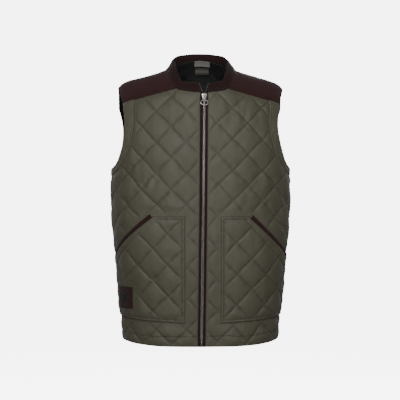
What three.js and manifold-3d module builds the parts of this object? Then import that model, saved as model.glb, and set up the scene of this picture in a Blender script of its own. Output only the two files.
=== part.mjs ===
import * as THREE from "three";
import { mergeVertices } from "three/addons/utils/BufferGeometryUtils.js";
import Module from "manifold-3d";

const wasm = await Module();
wasm.setup();

// Frame: millimetres, +Z up, the chest faces -Y, +X is the wearer's left.
// The origin lies midway between the two points where the neck meets the shoulders.

// Heights of the body
const HEM_Z = -697.5;
const UNDERARM_Z = -256;

// Inner faces of the body below the arms, one row for each level
const RINGS = [
  { z: -256, halfWidth: 228.5, front: 122, back: 113 },
  { z: -340, halfWidth: 228.5, front: 124, back: 104 },
  { z: -420, halfWidth: 224, front: 125, back: 101 },
  { z: -500, halfWidth: 213.5, front: 124, back: 106 },
  { z: -575, halfWidth: 207.5, front: 120, back: 117 },
  { z: -640, halfWidth: 202, front: 116, back: 127 },
  { z: -697.5, halfWidth: 199.5, front: 114, back: 131 },
];
const SECTION_POWER = 2.4;

// Ridge line of the shoulders, from the middle of the neck to the shoulder tip
const RIDGE = [
  { x: 0, z: 50 },
  { x: 30, z: 44 },
  { x: 60, z: 27 },
  { x: 80, z: 8 },
  { x: 92, z: -1 },
  { x: 150, z: -19.5 },
  { x: 200, z: -35.5 },
  { x: 229, z: -66 },
];
const RIDGE_Y = 10;
const ARCH_POWER = 2.4;

// Neckline, where the collar is sewn on. Sweep runs from -1 at the front of the underarm
// level over 0 on the ridge to 1 at the back of the underarm level.
const NECKLINE = [
  { x: 0, sweep: -0.62 },
  { x: 22, sweep: -0.612 },
  { x: 45, sweep: -0.584 },
  { x: 62, sweep: -0.54 },
  { x: 74, sweep: -0.42 },
  { x: 84, sweep: -0.25 },
  { x: 89, sweep: 0 },
  { x: 81, sweep: 0.08 },
  { x: 60, sweep: 0.145 },
  { x: 32, sweep: 0.19 },
  { x: 0, sweep: 0.205 },
];

// Yoke seams run straight: from the neckline or the centre back to the armhole
const YOKE_FRONT = { neckRow: 3, armX: 198, armZ: -91 };
const YOKE_BACK = { centreZ: -80, armX: 213, armZ: -96 };
const SHOULDER_TIP_X = 213;

// Armhole edge below the yoke seams, down to the side seam
const ARMHOLE_FRONT = [
  { x: 194, z: -122 },
  { x: 192.5, z: -150 },
  { x: 197, z: -188 },
  { x: 202.5, z: -212 },
  { x: 209.5, z: -233 },
  { x: 219, z: -248 },
];
const ARMHOLE_BACK = [
  { x: 206.5, z: -120 },
  { x: 203, z: -150 },
  { x: 205, z: -186 },
  { x: 211, z: -214 },
  { x: 218, z: -236 },
  { x: 224, z: -249 },
];
const BAND_WIDTH_TOP = 29;
const BAND_WIDTH_UNDERARM = 19;
const BAND_STATIONS = 12;

// Walls and seams
const SEAM_GAP = 0.3;
const WALL = 2.4;
const BAND_WALL = 3.2;
const YOKE_WALL = 2.8;
const PATCH_GAP = 1.15;

// Diamond quilting: the diamonds' width and height, and how far their middles stand up
const DIAMOND_WIDTH = 76;
const DIAMOND_HEIGHT = 77;
const PUFF = 3.8;
const PUFF_POWER = 0.55;
const EDGE_FADE = 13;
const PRESS_FADE = 24;
const CELLS_PER_DIAMOND = 4;
const STEP = 13.5;

// A crossing of two stitch lines on each panel, as a distance from the centre and a height
const CROSSING = {
  front_left: { u: 0, z: -154 },
  front_right: { u: 0, z: -184 },
  back: { u: 0, z: -160 },
  pocket_left: { u: -84, z: -494 },
  pocket_right: { u: 84, z: -518 },
};

// Centre front: the closed zip leans a little from the collar to the hem
const ZIP_CENTRE_TOP = 5;
const ZIP_CENTRE_HEM = -1.8;
const ZIP_TOP_Z = -66;
const FRONT_EDGE = 9.2;
const TAPE_OUTER = 8.9;
const TAPE_INNER = 4.2;
const CHAIN_HALF = 3.8;
const TAPE_WALL = 1.2;
const TAPE_LIFT = 0.5;
const CHAIN_WALL = 2.6;
const CHAIN_LIFT = 0.3;
const SLIDER_Z = -77.5;

// Patch pockets, measured from the centre front
const POCKET = {
  inner: { left: 42, right: 45 },
  top: -375,
  topEnd: { left: 129, right: 125 },
  mouthTop: { left: -369, right: -372 },
  mouthEnd: { left: -495, right: -500 },
  mouthBow: { left: 2, right: -2.5 },
  bottomInner: -639,
  bottomSide: -629,
  bindingTop: 10,
  bindingSide: 6.4,
  cornerShare: 0.7,
};
const sideName = (side) => (side < 0 ? "left" : "right");

// Stand collar, one row for each station round the neck. Lean is towards the neck, rise is up.
const COLLAR = [
  { share: 0, lean: 9, rise: 23 },
  { share: 0.2, lean: 13, rise: 22 },
  { share: 0.4, lean: 18, rise: 23 },
  { share: 0.58, lean: 19, rise: 26 },
  { share: 0.74, lean: 9, rise: 27 },
  { share: 0.88, lean: 1, rise: 20 },
  { share: 1, lean: -2, rise: 17 },
];
const COLLAR_WALL = 3.6;
const COLLAR_BASE_OPENING = 9.5;
const COLLAR_TOP_OPENING = 15;
const NECK_AXIS_Y = -22;

// Smooth curve through a table's rows, read at a value of its key column
function readTable(rows, key, column, value) {
  const last = rows.length - 1;
  const rising = rows[last][key] > rows[0][key];
  const before = (row) => (rising ? row[key] <= value : row[key] >= value);
  let i = 0;
  while (i < last - 1 && before(rows[i + 1])) i += 1;
  const slope = (k) => {
    const a = rows[Math.max(k - 1, 0)];
    const b = rows[Math.min(k + 1, last)];
    return (b[column] - a[column]) / (b[key] - a[key]);
  };
  const span = rows[i + 1][key] - rows[i][key];
  const t = Math.min(Math.max((value - rows[i][key]) / span, 0), 1);
  const t2 = t * t;
  const t3 = t2 * t;
  return (2 * t3 - 3 * t2 + 1) * rows[i][column] + (t3 - 2 * t2 + t) * span * slope(i)
    + (3 * t2 - 2 * t3) * rows[i + 1][column] + (t3 - t2) * span * slope(i + 1);
}

const mix = (a, b, t) => a + (b - a) * t;
const signedPower = (value, power) => Math.sign(value) * Math.abs(value) ** power;
const smooth = (value) => {
  const t = Math.min(Math.max(value, 0), 1);
  return t * t * (3 - 2 * t);
};

// Horizontal section of one face of the body: points against the length round from the centre
const SECTION_STEPS = 96;
const sections = new Map();
function section(face, z) {
  const key = `${face}${z.toFixed(3)}`;
  if (!sections.has(key)) {
    const width = readTable(RINGS, "z", "halfWidth", z);
    const depth = readTable(RINGS, "z", face, z);
    const power = 2 / SECTION_POWER;
    const at = (angle) => ({
      x: width * signedPower(Math.sin(angle), power),
      depth: depth * signedPower(Math.cos(angle), power),
    });
    const lengths = [0];
    let previous = at(0);
    for (let i = 1; i <= SECTION_STEPS; i += 1) {
      const next = at((i / SECTION_STEPS) * (Math.PI / 2));
      lengths.push(lengths[i - 1] + Math.hypot(next.x - previous.x, next.depth - previous.depth));
      previous = next;
    }
    sections.set(key, { at, lengths, width, depth });
  }
  return sections.get(key);
}

const halfGirth = (face, z) => section(face, Math.min(z, UNDERARM_Z)).lengths[SECTION_STEPS];

function sectionPoint(face, z, u) {
  const { at, lengths } = section(face, z);
  const girth = lengths[SECTION_STEPS];
  if (u >= girth) {
    const lastStep = girth - lengths[SECTION_STEPS - 1];
    return at((Math.PI / 2) * (1 + (u - girth) / lastStep / SECTION_STEPS));
  }
  let low = 0;
  let high = SECTION_STEPS;
  while (high - low > 1) {
    const middle = (low + high) >> 1;
    if (lengths[middle] <= u) low = middle;
    else high = middle;
  }
  const share = (u - lengths[low]) / (lengths[high] - lengths[low]);
  return at(((low + share) / SECTION_STEPS) * (Math.PI / 2));
}

// Length round the underarm section at which a face has the given half width
function lengthAtWidth(face, x) {
  let low = 0;
  let high = halfGirth(face, UNDERARM_Z);
  for (let i = 0; i < 40; i += 1) {
    const middle = (low + high) / 2;
    if (sectionPoint(face, UNDERARM_Z, middle).x < x) low = middle;
    else high = middle;
  }
  return (low + high) / 2;
}

function archDepth(face, x) {
  const { width, depth } = section(face, UNDERARM_Z);
  return depth * Math.max(1 - (x / width) ** SECTION_POWER, 0) ** (1 / SECTION_POWER);
}

function archY(face, depth, closing) {
  return face === "front" ? RIDGE_Y - (depth + RIDGE_Y) * closing : RIDGE_Y + (depth - RIDGE_Y) * closing;
}

const ridgeHeight = (x) => readTable(RIDGE, "x", "z", x);

// Sweep over the shoulder at which a half width has the given height
function sweepAt(face, x, z) {
  const t = (z - UNDERARM_Z) / (ridgeHeight(x) - UNDERARM_Z);
  const sweep = 1 - Math.asin(t ** (ARCH_POWER / 2)) / (Math.PI / 2);
  return face === "front" ? -sweep : sweep;
}

// Inner face of the body at a length u round from the centre and a height z
function bodyPoint(face, u, z) {
  const side = Math.sign(u) || 1;
  const outward = face === "front" ? -1 : 1;
  if (z <= UNDERARM_Z) {
    const point = sectionPoint(face, z, Math.abs(u));
    return new THREE.Vector3(side * point.x, outward * point.depth, z);
  }
  const point = sectionPoint(face, UNDERARM_Z, Math.abs(u));
  const t = Math.min((z - UNDERARM_Z) / (ridgeHeight(point.x) - UNDERARM_Z), 1);
  const closing = (1 - t ** ARCH_POWER) ** (1 / ARCH_POWER);
  return new THREE.Vector3(side * point.x, archY(face, point.depth, closing), z);
}

// Inner face of the body above the arms, by half width and sweep over the shoulder
function archPoint(x, sweep) {
  const side = Math.sign(x) || 1;
  const width = Math.abs(x);
  const face = sweep < 0 ? "front" : "back";
  const angle = (1 - Math.abs(sweep)) * (Math.PI / 2);
  const power = 2 / ARCH_POWER;
  const z = mix(UNDERARM_Z, ridgeHeight(width), Math.sin(angle) ** power);
  return new THREE.Vector3(side * width, archY(face, archDepth(face, width), Math.cos(angle) ** power), z);
}

// Outward normal of a surface given as a function of two values
function surfaceNormal(surface, a, b, stepA, stepB, flip) {
  const alongA = surface(a + stepA, b).sub(surface(a - stepA, b));
  const alongB = surface(a, b + stepB).sub(surface(a, b - stepB));
  const normal = alongA.cross(alongB).normalize();
  return flip ? normal.negate() : normal;
}

const bodyNormal = (face, u, z) => surfaceNormal(
  (a, b) => bodyPoint(face, a, b), u, z, 0.8, 0.8, face === "back",
);
const archNormal = (x, sweep) => surfaceNormal(archPoint, x, sweep, 0.8, 0.006, false);

const bodyOffset = (face, u, z, height) => (
  bodyPoint(face, u, z).addScaledVector(bodyNormal(face, u, z), height)
);
const archOffset = (x, sweep, height) => archPoint(x, sweep).addScaledVector(archNormal(x, sweep), height);

// Plane geometry of the flat pattern
const distance = (a, b) => Math.hypot(a[0] - b[0], a[1] - b[1]);

function inside(outline, point) {
  let odd = false;
  outline.forEach((a, i) => {
    const b = outline[(i + 1) % outline.length];
    const crosses = (a[1] > point[1]) !== (b[1] > point[1]);
    if (crosses && point[0] < a[0] + ((b[0] - a[0]) * (point[1] - a[1])) / (b[1] - a[1])) odd = !odd;
  });
  return odd;
}

function distanceToOutline(outline, point) {
  let nearest = Infinity;
  outline.forEach((a, i) => {
    const b = outline[(i + 1) % outline.length];
    const along = [b[0] - a[0], b[1] - a[1]];
    const reach = (point[0] - a[0]) * along[0] + (point[1] - a[1]) * along[1];
    const share = reach / (along[0] ** 2 + along[1] ** 2);
    const t = Math.min(Math.max(share, 0), 1);
    nearest = Math.min(nearest, distance(point, [a[0] + along[0] * t, a[1] + along[1] * t]));
  });
  return nearest;
}

function divideOutline(corners, step) {
  return corners.flatMap((a, i) => {
    const b = corners[(i + 1) % corners.length];
    const count = Math.max(Math.round(distance(a, b) / step), 1);
    const between = (k) => [mix(a[0], b[0], k / count), mix(a[1], b[1], k / count)];
    return Array.from({ length: count }, (_, k) => between(k));
  });
}

// Delaunay triangles of a set of points, by adding one point at a time
function delaunay(points) {
  const reach = 1e5;
  const all = [...points, [-reach, -reach], [reach, -reach], [0, reach]];
  const withCircle = (a, b, c) => {
    const [ax, ay] = all[a];
    const [bx, by] = [all[b][0] - ax, all[b][1] - ay];
    const [cx, cy] = [all[c][0] - ax, all[c][1] - ay];
    const twice = 2 * (bx * cy - by * cx);
    const x = (cy * (bx * bx + by * by) - by * (cx * cx + cy * cy)) / twice;
    const y = (bx * (cx * cx + cy * cy) - cx * (bx * bx + by * by)) / twice;
    return { corners: twice > 0 ? [a, b, c] : [a, c, b], centre: [ax + x, ay + y], radius: x * x + y * y };
  };
  let triangles = [withCircle(points.length, points.length + 1, points.length + 2)];
  points.forEach((point, index) => {
    const edges = new Map();
    triangles = triangles.filter((triangle) => {
      const dx = point[0] - triangle.centre[0];
      const dy = point[1] - triangle.centre[1];
      if (dx * dx + dy * dy >= triangle.radius) return true;
      triangle.corners.forEach((from, i) => {
        const to = triangle.corners[(i + 1) % 3];
        if (!edges.delete(`${to},${from}`)) edges.set(`${from},${to}`, [from, to]);
      });
      return false;
    });
    edges.forEach(([from, to]) => triangles.push(withCircle(from, to, index)));
  });
  return triangles.map((triangle) => triangle.corners)
    .filter((corners) => corners.every((corner) => corner < points.length));
}

// Triangles that fill an outline and use every one of its edges, or the edges that are missing
function fillOutline(outline, interior) {
  const nudge = (value) => value + 2e-4 * Math.sin(value * 12.9898);
  const points = [...outline, ...interior.map(([u, z]) => [nudge(u) + 1e-4 * Math.sin(z * 7.3), nudge(z)])];
  const triangles = delaunay(points).filter((corners) => {
    const centre = [0, 1].map((axis) => corners.reduce((sum, corner) => sum + points[corner][axis], 0) / 3);
    return inside(outline, centre);
  });
  const edges = new Set(triangles.flatMap(([a, b, c]) => [`${a},${b}`, `${b},${c}`, `${c},${a}`]));
  const missing = outline.map((_, i) => i).filter((i) => {
    const next = (i + 1) % outline.length;
    return !edges.has(`${i},${next}`) && !edges.has(`${next},${i}`);
  });
  return { triangles, missing };
}

// Closed meshes
function meshGeometry(vertices, faces) {
  let volume = 0;
  faces.forEach(([a, b, c]) => {
    volume += vertices[a].dot(new THREE.Vector3().crossVectors(vertices[b], vertices[c]));
  });
  const geometry = new THREE.BufferGeometry();
  const places = vertices.flatMap((v) => v.toArray());
  geometry.setAttribute("position", new THREE.Float32BufferAttribute(places, 3));
  geometry.setIndex(faces.flatMap(([a, b, c]) => (volume > 0 ? [a, b, c] : [a, c, b])));
  geometry.computeVertexNormals();
  return geometry;
}

// Wall over an outline in the flat pattern: outer and inner faces with their own inner points
function wallOverOutline(outline, outerPoints, innerPoints, outerAt, innerAt) {
  let edge = outline;
  let outer;
  let inner;
  for (let round = 0; round < 8; round += 1) {
    const clear = (point) => distanceToOutline(edge, point) > 0.5;
    outer = { points: outerPoints.filter(clear) };
    inner = { points: innerPoints.filter(clear) };
    Object.assign(outer, fillOutline(edge, outer.points));
    Object.assign(inner, fillOutline(edge, inner.points));
    const split = new Set([...outer.missing, ...inner.missing]);
    if (split.size === 0) break;
    edge = edge.flatMap((a, i) => {
      const b = edge[(i + 1) % edge.length];
      return split.has(i) ? [a, [(a[0] + b[0]) / 2, (a[1] + b[1]) / 2]] : [a];
    });
  }
  const outerFlat = [...edge, ...outer.points];
  const innerFlat = [...edge, ...inner.points];
  const vertices = [...outerFlat.map((p) => outerAt(p)), ...innerFlat.map((p) => innerAt(p))];
  const start = outerFlat.length;
  const faces = [
    ...outer.triangles,
    ...inner.triangles.map(([a, b, c]) => [start + a, start + c, start + b]),
  ];
  const turns = edge.reduce((sum, a, i) => {
    const b = edge[(i + 1) % edge.length];
    return sum + a[0] * b[1] - b[0] * a[1];
  }, 0);
  edge.forEach((_, i) => {
    const next = (i + 1) % edge.length;
    const [from, to] = turns > 0 ? [i, next] : [next, i];
    faces.push([to, from, start + from], [to, start + from, start + to]);
  });
  return meshGeometry(vertices, faces);
}

// Wall through a grid of stations: rows of outer points and the inner points behind them
function wallOverGrid(outerRows, innerRows) {
  const rows = outerRows.length;
  const columns = outerRows[0].length;
  const vertices = [...outerRows.flat(), ...innerRows.flat()];
  const start = rows * columns;
  const at = (row, column) => row * columns + column;
  const faces = [];
  for (let row = 0; row < rows - 1; row += 1) {
    for (let column = 0; column < columns - 1; column += 1) {
      const [a, b] = [at(row, column), at(row, column + 1)];
      const [c, d] = [at(row + 1, column + 1), at(row + 1, column)];
      faces.push([a, b, c], [a, c, d]);
      faces.push([start + a, start + c, start + b], [start + a, start + d, start + c]);
    }
  }
  const rim = [];
  for (let column = 0; column < columns - 1; column += 1) rim.push(at(0, column));
  for (let row = 0; row < rows - 1; row += 1) rim.push(at(row, columns - 1));
  for (let column = columns - 1; column > 0; column -= 1) rim.push(at(rows - 1, column));
  for (let row = rows - 1; row > 0; row -= 1) rim.push(at(row, 0));
  rim.forEach((from, i) => {
    const to = rim[(i + 1) % rim.length];
    faces.push([to, from, start + from], [to, start + from, start + to]);
  });
  return meshGeometry(vertices, faces);
}

// Rows by columns of points, from a function of two shares between 0 and 1
const grid = (rows, columns, pointAt) => Array.from({ length: rows + 1 }, (_, row) => (
  Array.from({ length: columns + 1 }, (__, column) => pointAt(row / rows, column / columns))
));

// Solids joined or cut with each other
function solidOf(geometry) {
  const bare = geometry.clone();
  bare.deleteAttribute("normal");
  bare.deleteAttribute("uv");
  const merged = mergeVertices(bare, 1e-4);
  return new wasm.Manifold(new wasm.Mesh({
    numProp: 3,
    vertProperties: merged.attributes.position.array,
    triVerts: Uint32Array.from(merged.index.array),
  }));
}

function geometryOf(solid) {
  const mesh = solid.getMesh();
  const geometry = new THREE.BufferGeometry();
  geometry.setAttribute("position", new THREE.BufferAttribute(mesh.vertProperties, 3));
  geometry.setIndex(new THREE.BufferAttribute(mesh.triVerts, 1));
  geometry.computeVertexNormals();
  return geometry;
}

// Neckline stations shared by the fronts, the yokes and the collar
const NECK_SUBDIVISIONS = 3;
const neckPoints = NECKLINE.map((row) => new THREE.Vector3(row.x, row.sweep * 100, 0));
const neckCurve = new THREE.CatmullRomCurve3(neckPoints);
const NECK_COUNT = (NECKLINE.length - 1) * NECK_SUBDIVISIONS;
function neckStation(index) {
  const point = neckCurve.getPoint(index / NECK_COUNT);
  return { x: Math.max(point.x, 0), sweep: point.y / 100 };
}
const YOKE_STATION = YOKE_FRONT.neckRow * NECK_SUBDIVISIONS;

// Columns of the yoke from the neck to the armhole: even steps to the band line, then the band
const SEAM_COLUMNS = [0, 1 / 6, 2 / 6, 3 / 6, 4 / 6, 5 / 6, 1, "armhole"];

// Flat pattern point of a place on the arch
function flatPoint(x, sweep) {
  const face = sweep < 0 ? "front" : "back";
  return [lengthAtWidth(face, x), archPoint(x, sweep).z];
}

const zipCentre = (z) => mix(ZIP_CENTRE_HEM, ZIP_CENTRE_TOP, (z - HEM_Z) / (ZIP_TOP_Z - HEM_Z));

// Yoke seams as half width and sweep, by the share of the way to the armhole
function yokeSeam(face, share) {
  const arm = face === "front" ? YOKE_FRONT : YOKE_BACK;
  const neck = neckStation(YOKE_STATION);
  const startX = face === "front" ? neck.x : 0;
  const startZ = face === "front" ? archPoint(neck.x, neck.sweep).z : YOKE_BACK.centreZ;
  const x = mix(startX, arm.armX, share);
  return { x, sweep: sweepAt(face, x, mix(startZ, arm.armZ, share)) };
}

// Armhole edge and band line of one face in the flat pattern, from the yoke seam to the side seam
function armholeLines(face) {
  const table = face === "front" ? ARMHOLE_FRONT : ARMHOLE_BACK;
  const seamEnd = yokeSeam(face, 1);
  const points = [
    flatPoint(seamEnd.x, seamEnd.sweep),
    ...table.map((row) => [lengthAtWidth(face, row.x), row.z]),
    [halfGirth(face, UNDERARM_Z), UNDERARM_Z],
  ];
  const placed = points.map(([u, z]) => new THREE.Vector3(u, z, 0));
  const curve = new THREE.CatmullRomCurve3(placed, false, "centripetal");
  const inset = seamEnd.x - BAND_WIDTH_TOP;
  const seamStart = yokeSeam(face, 0);
  const bandShare = (inset - seamStart.x) / (seamEnd.x - seamStart.x);
  return Array.from({ length: BAND_STATIONS + 1 }, (_, i) => {
    const share = i / BAND_STATIONS;
    const edge = curve.getPointAt(share);
    const along = curve.getTangentAt(share);
    const width = mix(BAND_WIDTH_TOP, BAND_WIDTH_UNDERARM, smooth(share));
    const line = [edge.x + along.y * width, edge.y - along.x * width];
    if (i === 0) {
      const start = yokeSeam(face, bandShare);
      return { edge: [edge.x, edge.y], line: flatPoint(start.x, start.sweep), bandShare };
    }
    if (i === BAND_STATIONS) {
      const z = UNDERARM_Z - BAND_WIDTH_UNDERARM;
      return { edge: [edge.x, edge.y], line: [halfGirth(face, z), z], bandShare };
    }
    return { edge: [edge.x, edge.y], line, bandShare };
  });
}

const armholes = { front: armholeLines("front"), back: armholeLines("back") };

// Flat outlines for the right half, with +u away from the centre
const SIDE_STEPS = 16;

function sideSeam(face, fromZ, toZ, steps) {
  return Array.from({ length: steps + 1 }, (_, i) => {
    const z = mix(fromZ, toZ, i / steps);
    return [halfGirth(face, z) - SEAM_GAP / 2, z];
  });
}

function bodyEdges(face) {
  const lines = armholes[face];
  const yoke = SEAM_COLUMNS.slice(0, -2).map((column) => {
    const point = yokeSeam(face, column * lines[0].bandShare);
    const [u, z] = flatPoint(point.x, point.sweep);
    return [u, z - SEAM_GAP];
  });
  const band = lines.map(({ edge, line }, i) => {
    const reach = distance(edge, line);
    const gap = SEAM_GAP / reach;
    const drop = i === 0 ? SEAM_GAP : 0;
    return [line[0] + (line[0] - edge[0]) * gap, line[1] + (line[1] - edge[1]) * gap - drop];
  });
  const underarm = band.pop();
  const side = sideSeam(face, underarm[1], HEM_Z, SIDE_STEPS);
  return { yoke, band, side };
}

function frontOutline(side) {
  const { yoke, band, side: seam } = bodyEdges("front");
  const neck = [];
  for (let i = 0; i < YOKE_STATION; i += 1) {
    const station = neckStation(i);
    const [u, z] = flatPoint(station.x, station.sweep);
    if (u > FRONT_EDGE + 3 + side * ZIP_CENTRE_TOP) neck.push([u, z - SEAM_GAP]);
  }
  const edge = (z) => FRONT_EDGE + side * zipCentre(z);
  const top = [edge(ZIP_TOP_Z), flatPoint(12, neckStation(1).sweep)[1] - SEAM_GAP];
  const outline = [[edge(HEM_Z), HEM_Z], top, ...neck, ...yoke, ...band, ...seam];
  return outline.map(([u, z]) => [side * u, z]);
}

function backOutline() {
  const { yoke, band, side } = bodyEdges("back");
  const half = [...yoke.slice(1), ...band, ...side];
  const mirrored = half.map(([u, z]) => [-u, z]).reverse();
  return [yoke[0], ...half, ...mirrored];
}

// Pocket outlines
const bindingWidth = (share) => POCKET.bindingTop + (POCKET.bindingSide - POCKET.bindingTop) * share;

// Point on a mouth, by the share of the binding's width and a distance below it
function pocketMouth(side, share, down, below) {
  const start = [POCKET.topEnd[sideName(side)], POCKET.mouthTop[sideName(side)]];
  const endZ = POCKET.mouthEnd[sideName(side)];
  const end = [halfGirth("front", endZ) - SEAM_GAP, endZ];
  const length = distance(start, end);
  const across = [(end[1] - start[1]) / length, -(end[0] - start[0]) / length];
  const arc = POCKET.mouthBow[sideName(side)] * Math.sin(Math.PI * share);
  const bow = arc - down * bindingWidth(share) - below;
  const u = mix(start[0], end[0], share) - across[0] * bow;
  return [side * u, mix(start[1], end[1], share) - across[1] * bow];
}

const MOUTH_STEPS = 12;
const SEAM_STEPS = 6;
const steps = (count, pointAt) => Array.from({ length: count + 1 }, (_, i) => pointAt(i / count));

function pocketEdges(side, down, below) {
  const mouth = steps(MOUTH_STEPS, (share) => pocketMouth(side, share, down, below));
  const last = mouth[MOUTH_STEPS];
  const seamAt = (z) => [side * (halfGirth("front", z) - SEAM_GAP), z];
  const seam = steps(SEAM_STEPS, (share) => seamAt(mix(last[1] - down, POCKET.bottomSide, share)));
  const innerEdge = side * POCKET.inner[sideName(side)];
  const inner = [innerEdge, POCKET.bottomInner];
  const top = [innerEdge, POCKET.top];
  return { mouth, seam, inner, top };
}

function pocketOutline(side) {
  const { mouth, seam, inner, top } = pocketEdges(side, 1, SEAM_GAP);
  const mouthInside = mouth.filter(([u, z]) => (
    z < POCKET.top - 1 && Math.abs(u) < halfGirth("front", z) - 2
  ));
  const cornerU = POCKET.topEnd[sideName(side)] - POCKET.bindingTop * POCKET.cornerShare;
  const corner = [side * cornerU, POCKET.top];
  return [inner, top, corner, ...mouthInside, ...seam];
}

function pocketFootprint(side) {
  const { mouth, seam, inner, top } = pocketEdges(side, 0, 0);
  return [inner, top, ...mouth, ...seam.slice(1)];
}

// Outside patch label on the left pocket, near the side seam and the bottom
const PATCH = { u: -201, z: -578, width: 50, height: 54, wall: 1.6 };
const patchOutline = (grow) => {
  const halfWidth = PATCH.width / 2 + grow;
  const halfHeight = PATCH.height / 2 + grow;
  const corner = ([a, b]) => [PATCH.u + a * halfWidth, PATCH.z + b * halfHeight];
  return [[-1, -1], [1, -1], [1, 1], [-1, 1]].map(corner);
};

// Quilted panel: its wall is thin on the stitch lines and stands up between them
function quiltLattice(outline, crossing, cells) {
  const us = outline.map((p) => p[0]);
  const zs = outline.map((p) => p[1]);
  const wide = (Math.max(...us) - Math.min(...us)) / DIAMOND_WIDTH;
  const high = (Math.max(...zs) - Math.min(...zs)) / DIAMOND_HEIGHT;
  const reach = wide + high;
  const count = Math.ceil((reach + 2) * cells);
  const middle = [(Math.max(...us) + Math.min(...us)) / 2, (Math.max(...zs) + Math.min(...zs)) / 2];
  const across = (middle[0] - crossing.u) / DIAMOND_WIDTH;
  const up = (middle[1] - crossing.z) / DIAMOND_HEIGHT;
  const baseA = Math.round(across + up);
  const baseB = Math.round(across - up);
  const points = [];
  for (let i = -count; i <= count; i += 1) {
    for (let j = -count; j <= count; j += 1) {
      const a = baseA + i / cells;
      const b = baseB + j / cells;
      const u = crossing.u + ((a + b) * DIAMOND_WIDTH) / 2;
      const z = crossing.z + ((a - b) * DIAMOND_HEIGHT) / 2;
      const point = [u, z];
      if (inside(outline, point)) points.push(point);
    }
  }
  return points;
}

function quiltRise(crossing, [u, z]) {
  const a = (u - crossing.u) / DIAMOND_WIDTH + (z - crossing.z) / DIAMOND_HEIGHT;
  const b = (u - crossing.u) / DIAMOND_WIDTH - (z - crossing.z) / DIAMOND_HEIGHT;
  return Math.abs(Math.sin(Math.PI * a) * Math.sin(Math.PI * b)) ** PUFF_POWER;
}

function quiltedPanel({ face, corners, crossing, lift, pressed, fineInside }) {
  const outline = divideOutline(corners, STEP);
  const creases = pressed.flatMap((press) => divideOutline(press, STEP))
    .filter((point) => inside(outline, point) && distanceToOutline(outline, point) > STEP * 0.5);
  const clear = (reach) => (point) => (
    distanceToOutline(outline, point) > reach && creases.every((crease) => distance(crease, point) > reach)
  );
  const cellsInside = fineInside ? CELLS_PER_DIAMOND : CELLS_PER_DIAMOND / 2;
  const outerPoints = quiltLattice(outline, crossing, CELLS_PER_DIAMOND).filter(clear(STEP * 0.5));
  const innerPoints = quiltLattice(outline, crossing, cellsInside)
    .filter((point) => distanceToOutline(outline, point) > STEP * (fineInside ? 0.5 : 0.9));
  const height = (point) => {
    let rise = PUFF * quiltRise(crossing, point) * smooth(distanceToOutline(outline, point) / EDGE_FADE);
    pressed.forEach((press) => {
      rise *= inside(press, point) ? 0 : smooth(distanceToOutline(press, point) / PRESS_FADE);
    });
    return lift + WALL + rise;
  };
  return wallOverOutline(
    outline,
    [...creases, ...outerPoints],
    innerPoints,
    (point) => bodyOffset(face, point[0], point[1], height(point)),
    (point) => bodyOffset(face, point[0], point[1], lift),
  );
}

// Pieces of plain cloth
function yoke(side) {
  const overNeck = NECK_COUNT - YOKE_STATION;
  const downBack = 7;
  const stations = overNeck + downBack;
  const ends = { front: yokeSeam("front", 1), back: yokeSeam("back", 1), centre: yokeSeam("back", 0) };
  const innerEdge = (row) => {
    const station = neckStation(Math.min(YOKE_STATION + row, NECK_COUNT));
    const share = Math.max(row - overNeck, 0) / downBack;
    return { x: station.x, sweep: mix(station.sweep, ends.centre.sweep, share) };
  };
  const outerEdge = (row) => {
    const sweep = mix(ends.front.sweep, ends.back.sweep, row / stations);
    const end = sweep < 0 ? ends.front : ends.back;
    return { x: mix(SHOULDER_TIP_X, end.x, (sweep / end.sweep) ** 2), sweep };
  };
  const bend = (face, share) => {
    const seam = yokeSeam(face, share).sweep;
    return seam - mix(yokeSeam(face, 0).sweep, yokeSeam(face, 1).sweep, share);
  };
  const place = (row, column, height) => {
    const inner = innerEdge(row);
    const outer = outerEdge(row);
    const gap = row <= overNeck ? SEAM_GAP * 1.5 : SEAM_GAP / 2;
    const down = row / stations;
    const band = mix(armholes.front[0].bandShare, armholes.back[0].bandShare, down);
    const share = column === "armhole" ? 1 : column * band;
    const sweep = mix(inner.sweep, outer.sweep, share)
      + (1 - down) ** 3 * bend("front", share) + down ** 3 * bend("back", share);
    return archOffset(side * mix(inner.x + gap, outer.x, share), sweep, height);
  };
  const rows = (height) => Array.from({ length: stations + 1 }, (_, row) => (
    SEAM_COLUMNS.map((column) => place(row, column, height))
  ));
  return wallOverGrid(rows(YOKE_WALL), rows(0));
}

function armholeBand(side) {
  const stations = [
    ...armholes.front.map((station) => ({ ...station, face: "front" })),
    ...armholes.back.slice(0, -1).reverse().map((station) => ({ ...station, face: "back" })),
  ];
  const across = 2;
  const rows = (height) => stations.map(({ edge, line, face }, row) => (
    Array.from({ length: across + 1 }, (_, column) => {
      const share = column / across;
      const end = row === 0 || row === stations.length - 1;
      const z = mix(edge[1], line[1], share) - (end ? SEAM_GAP : 0);
      const rounded = column === 0 || column === across ? 0.7 : 1;
      return bodyOffset(face, side * mix(edge[0], line[0], share), z, height * rounded);
    })
  ));
  return wallOverGrid(rows(BAND_WALL), rows(0));
}

function collarStation(side, index) {
  const station = neckStation(index);
  return {
    base: archOffset(side * station.x, station.sweep, 0),
    normal: archNormal(side * Math.max(station.x, 1), station.sweep),
    share: index / NECK_COUNT,
  };
}

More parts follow.
